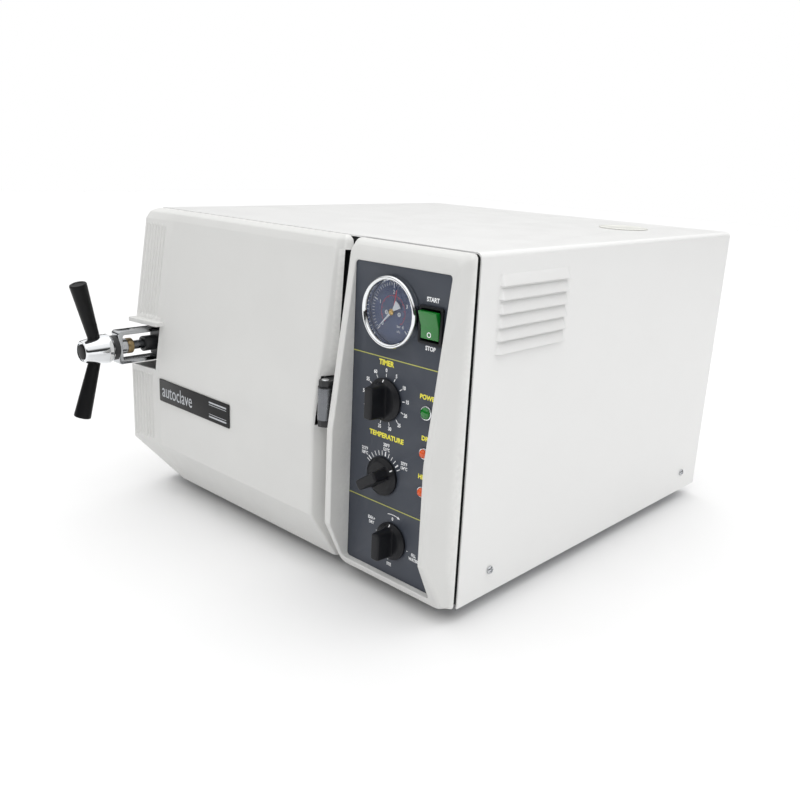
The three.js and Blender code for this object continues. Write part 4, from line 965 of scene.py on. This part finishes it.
def build_bezel():
    window = (WINDOW["x0"], WINDOW["x1"], WINDOW["z0"], WINDOW["z1"])

    def grown(box, amount, radius, top_left=None):
        loop = (box[0] - amount, box[1] + amount, box[2] - amount, box[3] + amount)
        return bezel_loop(*loop, radius, top_left or radius)

    def at(loop, shift=0.0):
        return [Vector((x, face_depth(z, PANEL_FACE) + shift, z)) for x, z in loop]

    def spread_low(loop):
        """Moves the creases outwards below the band, where the bevel grows wider."""
        out = []
        for x, z in loop:
            down = np.clip((BAND_LOW - z) / (BAND_LOW - BEZEL.z0), 0, 1)
            out.append((x + down * (8.5 if x > BEZEL.x else 3.0), z))
        return out

    crease = (BEZEL.x0 + 5, BEZEL.x1 - 11.5, BEZEL.z0 + 1.2, BEZEL.z1 - 3.4)
    outer = (BEZEL.x0, BEZEL.x1, BEZEL.z0, BEZEL.z1)
    back = BEZEL.y1
    behind = FASCIA.y0 - 0.3
    lip = 1.6
    rows = [[Vector((x, behind, z)) for x, z in grown(window, 0, WINDOW["radius"])]]
    for turn in np.linspace(0, math.pi / 2, 6):
        loop = grown(window, lip * (1 - math.cos(turn)), WINDOW["radius"])
        rows.append(at(loop, lip * (1 - math.sin(turn))))
    creased = at(spread_low(grown(crease, 0, 9, 13)))
    edge = [creased, [Vector((x, back, z)) for x, z in grown(outer, 0, 4, 12)]]
    inner = at(spread_low(grown(crease, -3.0, 8, 11)))
    for t in np.linspace(0, 1, 9):
        row = []
        for before, corner, wall in zip(inner, *edge):
            after = corner + (wall - corner).normalized() * min(3.5, (wall - corner).length * 0.45)
            row.append(before * (1 - t) ** 2 + corner * 2 * t * (1 - t) + after * t**2)
        rows.append(row)
    rows.append([a.lerp(b, 0.5) for a, b in zip(rows[-1], edge[1])])
    rows.append(edge[1])
    rows.append([Vector((x, back, z)) for x, z in grown(outer, -WALL, 3, 10)])
    rows.append(at(spread_low(grown(crease, -WALL, 6, 10)), WALL))
    rows.append([Vector((x, behind, z)) for x, z in grown(window, WALL, 7)])
    shape = Shape().grid(rows, wrap_rows=True, wrap_columns=True)
    add("panel_bezel_shell", shape.mesh("bezel", 24), "panel_bezel", LOOKS["shell"])


# ---------------------------------------------------------------- fascia, gauge, switch, knobs and lamps

GAUGE = Span("gauge_case")
SWITCH = Span("switch_housing")
KNOBS = {name: Span(f"{name}_knob") for name in ("timer", "thermostat", "valve")}
LAMPS = {name: Span(f"{name}_lamp") for name in ("power", "dry", "heat")}
FACE_Y = FASCIA.y0


def build_fascia():
    outline = box_outline(FASCIA.x0, FASCIA.z0, FASCIA.x1, FASCIA.z1, 2)
    holes = [
        circle(GAUGE.x, GAUGE.z, 31.6, 96),
        box_outline(SWITCH.x0 + 1.2, SWITCH.z0 + 1.2, SWITCH.x1 - 1.2, SWITCH.z1 - 1.2, 1),
    ]
    holes += [circle(knob.x, knob.z, 3.8, 32) for knob in KNOBS.values()]
    holes += [circle(lamp.x, lamp.z, 4.8, 32) for lamp in LAMPS.values()]
    shape = stack(Shape(), [outline, *holes], "Y", slab(FASCIA.y0, FASCIA.y1, 0.25, 2))
    add("fascia_sheet", shape.mesh("fascia"), "fascia_plate", LOOKS["fascia"])
    build_print()


def timer_scale(white, centre):
    for minutes in range(0, 65, 5):
        turn = minutes * 5.5
        stroke(white, around(centre, 22.6, turn), around(centre, 26.0, turn), 0.75, FACE_Y)
        spot = around(centre, 29.2, turn)
        words(white, str(minutes), spot.x, spot.y, 5.2, FACE_Y, width=0.84, bold=0.15)


def thermostat_scale(white, centre):
    for turn in (-60, -52, -40, -28, -16, -5, 6, 17, 28, 39, 50, 60):
        major = turn in (-52, 6, 50)
        width = 1.4 if major else 0.7
        stroke(white, around(centre, 21.3, turn), around(centre, 26.2, turn), width, FACE_Y)
    labels = ((-52, "212°F", "100°C"), (6, "250°F", "121°C"), (56, "273°F", "134°C"))
    for turn, fahrenheit, celsius in labels:
        spot = around(centre, 31.5 if turn == 6 else 33.5, turn)
        for line, label in enumerate((fahrenheit, celsius)):
            words(white, label, spot.x, spot.y + 1.7 - 4.6 * line, 4.5, FACE_Y, width=0.78, bold=0.13)


def valve_scale(white, centre):
    top = around(centre, 23.4, 0)
    words(white, "0", top.x, top.y, 4.8, FACE_Y, width=0.86, bold=0.15)
    arc_stroke(white, centre, 28, -14, 15, 0.7, FACE_Y)
    tip, base = around(centre, 28, 21), around(centre, 28, 14)
    side = (tip - base).orthogonal().normalized() * 1.5
    ink(white, [tip, base + side, base - side], FACE_Y)
    for turn in (100, 190, 280):
        stroke(white, around(centre, 21.2, turn), around(centre, 22.6, turn), 0.7, FACE_Y)
    right, below, left = around(centre, 30, 105), around(centre, 27, 185), around(centre, 32, -66)
    for line, label in enumerate(("FILL", "WATER")):
        words(white, label, right.x + 1.5, right.y + 2.2 - 4.8 * line, 4.6, FACE_Y, width=0.8, bold=0.13)
    words(white, "STE", below.x, below.y, 4.6, FACE_Y, width=0.85, bold=0.13)
    for line, label in enumerate(("EXH.+", "DRY")):
        words(white, label, left.x, left.y + 2.2 - 4.8 * line, 4.6, FACE_Y, width=0.8, bold=0.13)


def build_print():
    """Numbers and plain words printed on the fascia."""
    white, yellow, lines = Shape(), Shape(), Shape()
    words(white, "START", SWITCH.x - 0.2, SWITCH.z1 + 5.6, 5.7, FACE_Y, width=0.9, bold=0.19)
    words(white, "STOP", SWITCH.x - 0.2, SWITCH.z0 - 4.4, 5.7, FACE_Y, width=0.9, bold=0.19)
    timer, thermostat, valve = (KNOBS[name] for name in ("timer", "thermostat", "valve"))
    timer_scale(white, (timer.x, timer.z))
    thermostat_scale(white, (thermostat.x, thermostat.z))
    valve_scale(white, (valve.x, valve.z))
    words(yellow, "TIMER", timer.x - 0.5, timer.z + 36.3, 7.4, FACE_Y, width=0.96, bold=0.27)
    words(yellow, "TEMPERATURE", thermostat.x + 2.5, timer.z - 37.2, 6.9, FACE_Y, width=1.02, bold=0.27)
    for name, lamp in LAMPS.items():
        words(yellow, name.upper(), lamp.x + 1.5, lamp.z + 14.5, 6.3, FACE_Y, width=1.0, bold=0.23)
    for height in (250.0, 99.0):
        stroke(lines, (FASCIA.x0 + 2, height), (FASCIA.x1 - 2, height), 0.9, FACE_Y)
    for name, shape in (("white", white), ("yellow", yellow), ("line", lines)):
        look = LOOKS[f"{name}_print"]
        add(f"fascia_print_{name}", shape.mesh(name), "fascia_plate", look, stands_for=False)


def build_gauge():
    centre = (GAUGE.x, GAUGE.z)
    rim, back, front = GAUGE.width / 2, FACE_Y - 0.3, GAUGE.y0
    floor, can, can_back = FACE_Y + 2.2, 31, FACE_Y + 38
    profile = rounded([
        (0, floor), (rim - 4.5, floor), (rim - 4.5, front + 2.6, 0.4), (rim - 4.0, front + 1.2, 0.4),
        (rim - 2.6, front, 1.3), (rim - 1.0, front, 1.6), (rim, front + 1.8, 1.6),
        (rim - 0.4, back - 1.6, 0.8), (rim, back, 0.3), (can, back), (can, can_back, 1), (6, can_back),
        (6, GAUGE.y1, 0.8), (0, GAUGE.y1),
    ], steps=8)
    turned("gauge_case_rim", profile, centre, "gauge_case", LOOKS["chrome"], sides=160)
    glass = Span("gauge_glass")
    wide = glass.width / 2
    lens = [*dome(wide, glass.y0, 0.5, 1.4, 12), (wide, glass.y0 + 0.8), (wide, glass.y1), (0, glass.y1)]
    turned("gauge_window", lens, centre, "gauge_glass", LOOKS["glass"], sides=128)


def build_dial():
    """The dial with its scales, small print and two rivets."""
    dial, centre = Span("gauge_dial"), (GAUGE.x, GAUGE.z)
    front, first, sweep = dial.y0, -135, 270
    shape = stack(Shape(), [circle(*centre, dial.width / 2, 128)], "Y", slab(front, dial.y1, 0.2, 2))
    add("gauge_dial_disc", shape.mesh("dial"), "gauge_dial", LOOKS["dial"])
    white, red, rivets = Shape(), Shape(), Shape()
    for step in range(41):
        turn = first + sweep * step / 40
        long = step % 10 == 0
        start = around(centre, 22.6 if long else 24.6, turn)
        stroke(white, start, around(centre, 27.4, turn), 0.8 if long else 0.35, front)
    for step in range(5):
        spot = around(centre, 18.6, first + sweep * step / 4)
        words(white, str(step), spot.x, spot.y, 5.0, front, width=0.9, bold=0.1)
    for step in range(11):
        turn = first + sweep * step / 10
        stroke(red, around(centre, 13.6, turn), around(centre, 15.2, turn), 0.45, front)
    arc_stroke(red, centre, 15.4, first, first + sweep, 0.35, front, 60)
    arc_stroke(red, centre, 28.2, 66, 135, 0.9, front, 24)
    stroke(red, around(centre, 4, 9), around(centre, 21, 9), 1.1, front)
    words(white, "bar", centre[0] + 8, centre[1] - 13, 3.6, front)
    words(white, "kPa", centre[0] + 8, centre[1] - 18, 3.2, front)
    for side in (-1, 1):
        head = [(0.9, front), (2.1, front), (2.1, front - 0.5), (1.6, front - 1.0), (0.9, front - 0.9)]
        lathe(rivets, head, (centre[0] + side * 8.2, centre[1] - 1.5), sides=32)
    for name, shape, look in (
        ("gauge_print_white", white, "white_print"),
        ("gauge_print_red", red, "red_print"),
        ("gauge_dial_rivets", rivets, "white_print"),
    ):
        add(name, shape.mesh(name), "gauge_dial", LOOKS[look], stands_for=False)


def build_pointer():
    needle, hub = Span("gauge_needle"), (GAUGE.x, GAUGE.z)
    zero, level = 225, needle.y0 + 1.1
    tip = around(hub, 24, zero)
    waist = [around(hub, 2.4, zero + side) for side in (-32, 32)]
    tail = [around(hub, 3, zero - 180 + side) for side in (-20, 20)]
    fan = [around(hub, 12.5, zero - 180 + turn) for turn in np.linspace(-21, 21, 8)]
    outline = [tip, waist[1], tail[0], *fan, tail[1], waist[0]]
    shape = stack(Shape(), [outline], "Y", slab(level, level + 0.7, 0.15, 1))
    add("gauge_pointer", shape.mesh("pointer"), "gauge_needle", LOOKS["white_print"])
    boss = rounded([
        (0, needle.y0), (2.0, needle.y0, 1.0), (3.1, level - 0.2, 0.4), (3.1, level), (1.4, level),
        (1.4, needle.y1), (0, needle.y1),
    ])
    turned("gauge_pointer_boss", boss, hub, "gauge_needle", LOOKS["brass"], sides=48, stands_for=False)


def build_switch():
    face = FACE_Y - 0.3
    x0, x1, z0, z1 = SWITCH.x0, SWITCH.x1, SWITCH.z0, SWITCH.z1
    rim = box_outline(x0, z0, x1, z1, 1.6)
    well = box_outline(x0 + 3, z0 + 2.5, x1 - 3, z1 - 2.5, 0.8)
    body = box_outline(x0 + 1.6, z0 + 1.6, x1 - 1.6, z1 - 1.6, 1.0)
    shape = Shape()
    stack(shape, [rim, well], "Y", slab(face - 2.6, face, 0.7, 3))
    stack(shape, [body, well], "Y", slab(face - 0.4, face + 12, 0.2, 1))
    stack(shape, [body], "Y", slab(face + 11.9, SWITCH.y1, 0.4, 2))
    add("switch_housing_frame", shape.mesh("housing"), "switch_housing", LOOKS["black"])
    span = Span("switch_rocker")
    top, z = span.height / 2, span.z
    section = rounded([
        (face - 8.2, z + top, 0.8), (face - 6.6, z + top * 0.62, 1.5), (face - 3.4, z - 1, 8),
        (face - 2.4, z - top, 1.0), (face + 1.5, z - top + 1, 0.8), (face + 5.5, z - 3, 1),
        (face + 5.5, z + 3, 1), (face - 2, z + top, 0.8),
    ])
    rocker = stack(Shape(), [section], "X", slab(span.x0, span.x1, 0.9, 4))
    add("switch_rocker_key", rocker.mesh("rocker"), "switch_rocker", LOOKS["green"])
    ring = Shape()
    arc_stroke(ring, (span.x, z - 8.4), 2.1, 0, 359.9, 0.8, face - 3.05, 32)
    add("switch_rocker_mark", ring.mesh("mark"), "switch_rocker", LOOKS["white_print"], stands_for=False)


def build_knob(name, turn):
    """A pointer knob: a coned skirt with a white line, and a finger bar with scooped sides."""
    span = KNOBS[name]
    disc, back, front = span.width / 2, FACE_Y - 0.7, span.y0
    centre = (span.x, span.z)
    shape = Shape()
    skirt = rounded([
        (0, back), (disc, back, 0.4), (disc, back - 2.2, 0.9), (disc - 4.5, back - 5, 1.2),
        (disc - 8, back - 5.4), (0, back - 5.4),
    ])
    lathe(shape, skirt, centre, sides=128)
    shaft = [(0, back - 1), (3, back - 1), (3, span.y1 - 0.4), (2.6, span.y1), (0, span.y1)]
    lathe(shape, shaft, centre, sides=32)
    bar = box_outline(-6, 4.6 - disc, 6, disc - 4.6, 3.4, 8)
    levels = [
        (back - 4.4, -1.4), (back - 5.6, -0.5), (back - 7.5, 0.1), (back - 12, 0.35), (front + 2.4, 0.7),
    ]
    for a in np.linspace(0.2, 1.57, 6):
        levels.append((front + 2.0 * (1 - math.sin(a)), 0.8 + 1.8 * (1 - math.cos(a))))
    grip = stack(Shape(), [bar], "Y", levels)
    spin = Matrix.Translation((centre[0], 0, centre[1])) @ Matrix.Rotation(math.radians(turn), 4, "Y")
    shape.take(grip.mesh("grip"), spin @ TO_MM)
    add(f"{name}_knob_body", shape.mesh(f"{name}_knob", 36), f"{name}_knob", LOOKS["black"])
    mark, thick = Shape(), 0.12
    side = around((0, 0), 0.55, turn + 90)
    rows = []
    for reach, depth in ((disc - 4.2, back - 4.9), (disc - 0.9, back - 2.9)):
        spot = around(centre, reach, turn)
        corners = [(side, 0.0), (side, thick), (-side, thick), (-side, 0.0)]
        rows.append([(spot.x + s.x, depth - t, spot.y + s.y) for s, t in corners])
    mark.grid(rows, wrap_columns=True)
    mark.cap(rows[0])
    mark.cap(rows[1])
    add(f"{name}_knob_mark", mark.mesh("mark"), f"{name}_knob", LOOKS["white_print"], stands_for=False)


def build_lamps():
    for name, span in LAMPS.items():
        centre = (span.x, span.z)
        face, collar = FACE_Y - 0.3, span.width / 2
        wide = collar - 1.2
        lens = [
            *dome(wide, span.y0, 3.2, count=14), (wide, face - 0.2), (4.3, face), (4.3, span.y1 - 0.5),
            (3.8, span.y1), (0, span.y1),
        ]
        look = LOOKS["green" if name == "power" else "orange"]
        turned(f"{name}_lamp_lens", lens, centre, f"{name}_lamp", look, sides=64)
        ring = rounded([
            (wide - 0.1, face), (collar, face, 0.2), (collar, face - 1.3, 0.6), (wide - 0.1, face - 1.7, 0.4),
        ])
        turned(f"{name}_lamp_ring", ring, centre, f"{name}_lamp", LOOKS["chrome"], sides=64, stands_for=False)


# ---------------------------------------------------------------- door furniture


def build_door_disc():
    """The pressed disc with its stud, and the gasket round it."""
    disc, seal = Span("door_disc"), Span("door_gasket")
    centre = (disc.x, disc.z)
    wide, back, stud = disc.width / 2, disc.y1, disc.y0
    profile = rounded([
        (0, back), (118, back, 4), (121, back - 2.5, 2), (127, back - 2.5, 2), (129, back, 1),
        (wide, back, 1), (wide, back - 5, 2), (wide - 14, back - 8, 8), (24, back - 8, 2),
        (22, back - 10.8, 1), (8, back - 10.8), (8, stud, 1), (0, stud),
    ])
    look = Look("pressed_steel", tone(208, 211, 214), Metallic=1.0)
    look.tint(0.05, 40).rough(0.12, 0.24, 14).rings((disc.x, disc.y, disc.z), "Y", 0.006, 0.7)
    turned("door_disc_plate", profile, centre, "door_disc", look.material, sides=160)
    inner, outer = 129.0, seal.width / 2
    lips = rounded([
        (inner, seal.y0, 0.3), (outer, seal.y0, 0.3), (outer, seal.y1, 0.8), (outer - 3.5, seal.y1 - 0.7, 1),
        (inner + 3, seal.y1 - 0.7, 1), (inner, seal.y1, 0.8),
    ])
    turned("door_gasket_seal", lips, centre, "door_gasket", LOOKS["silicone"], sides=160)


def build_nameplate():
    plate = Span("nameplate")
    outline = box_outline(plate.x0, plate.z0, plate.x1, plate.z1, 1.0)
    shape = stack(Shape(), [outline], "Y", slab(plate.y0, plate.y1, 0.35, 3))
    add("nameplate_blank", shape.mesh("nameplate"), "nameplate", LOOKS["nameplate"])
    letters = Shape()
    words(letters, "autoclave", plate.x0 + 6, plate.z, 24, plate.y0, width=0.72, align="LEFT")
    right = plate.x1 - 5
    for height, width in ((8.6, 1.8), (5.6, 0.6), (-5.6, 0.6), (-8.6, 1.8)):
        z = plate.z + height
        stroke(letters, (right - 34, z), (right, z), width, plate.y0)
    add("nameplate_print", letters.mesh("nameplate_print"), "nameplate", LOOKS["steel"], stands_for=False)


def build_hinge():
    """The hinge's pin, and the sleeve of the door bridge that turns on it."""
    pin = Span("hinge_pin")
    centre = (pin.x, pin.y)
    bore, jaw = 4.4, 7.8
    profile = rounded([(0, pin.z0), (4, pin.z0, 0.8), (4, pin.z1, 0.8), (0, pin.z1)])
    turned("hinge_pin_rod", profile, centre, "hinge_pin", LOOKS["chrome"], "Z", 48)
    low, high = pin.z0 + jaw, pin.z1 - jaw
    profile = rounded([(bore, low), (7.5, low, 0.8), (7.5, high, 0.8), (bore, high)])
    turned("hinge_sleeve", profile, centre, "door_bridge", LOOKS["rod"], "Z", stands_for=False)


# ---------------------------------------------------------------- closing device

SCREW = Span("closing_screw")
HUB = Span("handle_hub")
AXIS = (SCREW.x, SCREW.z)


def build_yoke():
    """A bent steel strap with the screw's bush and a bronze nut behind its front wall."""
    yoke = Span("closing_yoke")
    sheet, half, hole, bush = 5.0, 8.5, 5.9, 9.5
    front, low, high = yoke.y0, yoke.z0, yoke.z1
    outline = rounded([
        (front, low, 4), (yoke.y1, low, 0.8), (yoke.y1, low + sheet, 0.8), (front + 6, low + sheet, 2.5),
        (front + 6, high - sheet, 2.5), (yoke.y1, high - sheet, 0.8), (yoke.y1, high, 0.8), (front, high, 4),
    ])
    body = stack(Shape(), [outline], "X", slab(SCREW.x - half, SCREW.x + half, 0.9, 4)).mesh("yoke")
    drill = [(0, front - 3), (hole, front - 3), (hole, front + 9), (0, front + 9)]
    body = Shape().take(carve(body, lathe(Shape(), drill, AXIS, sides=64).mesh("bore")), TO_MM)
    end = front + 13.6
    lathe(body, rounded([
        (hole, front + 5), (bush, front + 5), (bush, front + 12.5, 1.2), (8.2, end, 0.4), (hole, end),
    ]), AXIS)
    nut = rounded([
        (hole, end), (8.2, end), (bush, front + 14.8, 0.8), (bush, front + 21, 1.0), (hole, front + 21),
    ])
    turned("closing_yoke_nut", nut, AXIS, "closing_yoke", LOOKS["bronze"], stands_for=False)
    add("closing_yoke_body", body.mesh("yoke_body"), "closing_yoke", LOOKS["polished"])


def build_screw():
    """A plain rod that is threaded towards its tip."""
    start, tip, radius, pitch, deep = SCREW.y0, SCREW.y1, SCREW.width / 2, 3.0, 0.75
    smooth = HUB.y1 + 52

    def thread(turn, along):
        depth = deep * min(1.0, max(0.0, (along - smooth) / 3), max(0.0, (tip - along) / 2))
        phase = (along / pitch + turn / (2 * math.pi)) % 1.0
        return depth * (1 - abs(2 * phase - 1))

    ys = np.concatenate([[start, smooth], np.arange(smooth + 0.5, tip - 1.2, 0.5), [tip - 1.2]])
    profile = [(0, start)] + [(radius, y) for y in ys] + [(radius - 1.4, tip), (0, tip)]
    shape = lathe(Shape(), profile, AXIS, sides=48, scallop=thread)
    add("closing_screw_rod", shape.mesh("screw", 60), "closing_screw", LOOKS["rod"])


def build_handle():
    """The dark collar, the chrome hub with its black cap, and the two grips."""
    collar = Span("thrust_collar")
    inner, outer = SCREW.width / 2 + 0.3, collar.width / 2
    ring = rounded([(inner, collar.y0), (outer, collar.y0, 0.6), (outer, collar.y1, 0.6), (inner, collar.y1)])
    turned("thrust_collar_ring", ring, AXIS, "thrust_collar", LOOKS["frame"])
    back, front, wide, narrow, cap = HUB.y1, HUB.y0, HUB.width / 2, 12.8, 9.4
    cone = rounded([
        (0, back), (wide - 2, back, 0.6), (wide - 1.2, back - 1.6, 0.8), (wide, back - 3.2, 1.2),
        (wide, back - 7.5, 5), (narrow + 0.8, front + 2.5, 1.5), (narrow - 0.6, front + 0.8, 0.8),
        (narrow - 1.6, front + 0.8, 0.3), (narrow - 1.9, front + 2.4), (0, front + 2.4),
    ], steps=8)
    turned("handle_hub_cone", cone, AXIS, "handle_hub", LOOKS["chrome"], sides=160)
    crown = [*dome(cap, front, 1.6), (cap, front + 3), (0, front + 3)]
    turned("handle_hub_cap", crown, AXIS, "handle_hub", LOOKS["grip"], stands_for=False)
    for name, up in (("upper", 1), ("lower", -1)):
        build_grip(name, up)


def build_grip(name, up):
    """A grip that widens outwards, leaning forward and turned a little with the handle."""
    root, tip, first, length, lean, turn = 7.0, 10.0, 14.0, 71.0, 15.0, 3.0
    end = first + length
    profile = rounded([
        (0, first), (root, first, 0.5), (root + 0.35, first + 8, 4), (tip, end - 4, 2), (tip, end, 2.2),
        (tip - 3.4, end - 0.4, 0.8), (tip - 4.4, end - 1.0, 0.6), (0, end - 1.0),
    ], steps=6)
    grip = lathe(Shape(), profile, (0, 0), "Z", 96).mesh("grip")
    spin = Matrix.Rotation(math.radians(turn), 4, "Y")
    tilt = Matrix.Rotation(math.radians(lean) * up, 4, "X")
    flip = Matrix.Rotation(0 if up > 0 else math.pi, 4, "X")
    placed = Matrix.Translation((SCREW.x, HUB.y0 + 21, SCREW.z)) @ spin @ tilt @ flip
    mesh = Shape().take(grip, placed @ TO_MM).mesh(f"grip_{name}")
    add(f"handle_grip_{name}_bar", mesh, f"handle_grip_{name}", LOOKS["grip"])


# ---------------------------------------------------------------- carried-over CAD nodes


def carry_over():
    for node in ("base_pan", "inner_frame", "tray_rack", "latch_bracket"):
        carry(node, LOOKS["steel"], 0.4)
    for node in ("door_bridge", "hinge_bracket"):
        carry(node, LOOKS["frame"], 0.8)
    for node in ("timer_body", "thermostat_body", "power_inlet"):
        carry(node, LOOKS["black"], 0.5)
    carry("valve_body", LOOKS["brass"], 0.8)
    carry("water_reservoir", LOOKS["tank"], 1.0)
    for node in ("gauge_pipe", "steam_pipe", "fill_pipe"):
        carry(node, LOOKS["copper"], smooth=2)
    carry("heating_element", LOOKS["steel"], smooth=2)


# ---------------------------------------------------------------- floor, light and camera


def sky(tree, place, stops):
    """A background whose brightness follows the height of the ray: stops are (height, brightness)."""
    parts = tree.nodes.new("ShaderNodeSeparateXYZ")
    tree.links.new(place, parts.inputs[0])
    height = tree.nodes.new("ShaderNodeMapRange")
    height.inputs["From Min"].default_value = -1.0
    tree.links.new(parts.outputs["Z"], height.inputs["Value"])
    ramp = tree.nodes.new("ShaderNodeValToRGB")
    tree.links.new(height.outputs["Result"], ramp.inputs["Fac"])
    elements = ramp.color_ramp.elements
    for position, _ in stops[1:-1]:
        elements.new((position + 1) / 2)
    for element, (position, value) in zip(elements, stops):
        element.position = (position + 1) / 2
        element.color = (value, value, value, 1)
    background = tree.nodes.new("ShaderNodeBackground")
    tree.links.new(ramp.outputs["Color"], background.inputs["Color"])
    return background.outputs[0]


def studio_world():
    """White to the camera, soft even light on the object, and a dark horizon for gloss to pick up."""
    world = bpy.data.worlds.new("studio")
    bpy.context.scene.world = world
    world.use_nodes = True
    tree = world.node_tree
    tree.nodes.clear()
    place = tree.nodes.new("ShaderNodeTexCoord").outputs["Generated"]
    rays = tree.nodes.new("ShaderNodeLightPath").outputs
    soft = sky(tree, place, ((-1, 0.5), (0, 0.5), (0.5, 0.8), (1, 2.1)))
    gloss = sky(tree, place, ((-1, 0.3), (-0.02, 0.04), (0.26, 0.05), (0.42, 0.9), (1, 1.2)))
    plain = tree.nodes.new("ShaderNodeBackground")
    plain.inputs["Color"].default_value = (1, 1, 1, 1)
    result = soft
    for ray, other in (("Is Glossy Ray", gloss), ("Is Camera Ray", plain.outputs[0])):
        mix = tree.nodes.new("ShaderNodeMixShader")
        tree.links.new(rays[ray], mix.inputs["Fac"])
        tree.links.new(result, mix.inputs[1])
        tree.links.new(other, mix.inputs[2])
        result = mix.outputs[0]
    out = tree.nodes.new("ShaderNodeOutputWorld")
    tree.links.new(result, out.inputs["Surface"])


def softbox(name, place, aim, size, power):
    light = bpy.data.lights.new(name, "AREA")
    light.shape = "RECTANGLE"
    light.size, light.size_y = size
    light.energy = power
    lamp = bpy.data.objects.new(name, light)
    lamp.location = place
    lamp.rotation_euler = (Vector(aim) - Vector(place)).to_track_quat("-Z", "Y").to_euler()
    bpy.context.scene.collection.objects.link(lamp)


def build_floor():
    reach = 6000
    shape = Shape().grid([[(-reach, -reach, 0), (reach, -reach, 0)], [(-reach, reach, 0), (reach, reach, 0)]])
    mesh = shape.mesh("floor")
    floor = bpy.data.objects.new("floor", mesh)
    bpy.context.scene.collection.objects.link(floor)
    look = Look("floor_paper", [0.82, 0.82, 0.82, 1.0], Roughness=0.9)
    look.tint(0.01, 400)
    mesh.materials.append(look.material)


EYE = (0.7113, -0.7902, 0.4420)
TILT, ROLL, HEADING = 73.67, -2.65, 43.52
LENS = 38.43


def build_camera():
    camera = bpy.data.cameras.new("camera")
    camera.lens = LENS
    camera.sensor_width = 36
    camera.clip_start = 0.01
    eye = bpy.data.objects.new("camera", camera)
    eye.location = EYE
    eye.rotation_euler = [math.radians(angle) for angle in (TILT, ROLL, HEADING)]
    bpy.context.scene.collection.objects.link(eye)
    bpy.context.scene.camera = eye


def build_studio():
    studio_world()
    build_floor()
    softbox("key", (0.6, -1.6, 1.6), (0, 0, 0.2), (1.4, 1.0), 0.9)
    softbox("top", (0.1, 0.2, 1.7), (0, 0, 0.2), (1.6, 1.6), 1.5)
    build_camera()
    view = bpy.context.scene.view_settings
    view.view_transform = "Standard"
    view.look = "None"


# ---------------------------------------------------------------- assembly

build_cover()
build_front_frame()
build_rear_panel()
build_feet()
build_screws()
build_chamber()
build_trays()
build_lid()
build_safety_valve()
build_thermal_cutout()
build_door()
build_hood()
build_bezel()
build_fascia()
build_gauge()
build_dial()
build_pointer()
build_switch()
for knob, degrees in (("timer", 0), ("thermostat", 55), ("valve", 0)):
    build_knob(knob, degrees)
build_lamps()
build_door_disc()
build_nameplate()
build_hinge()
build_yoke()
build_screw()
build_handle()
carry_over()
build_studio()

bpy.context.view_layer.update()
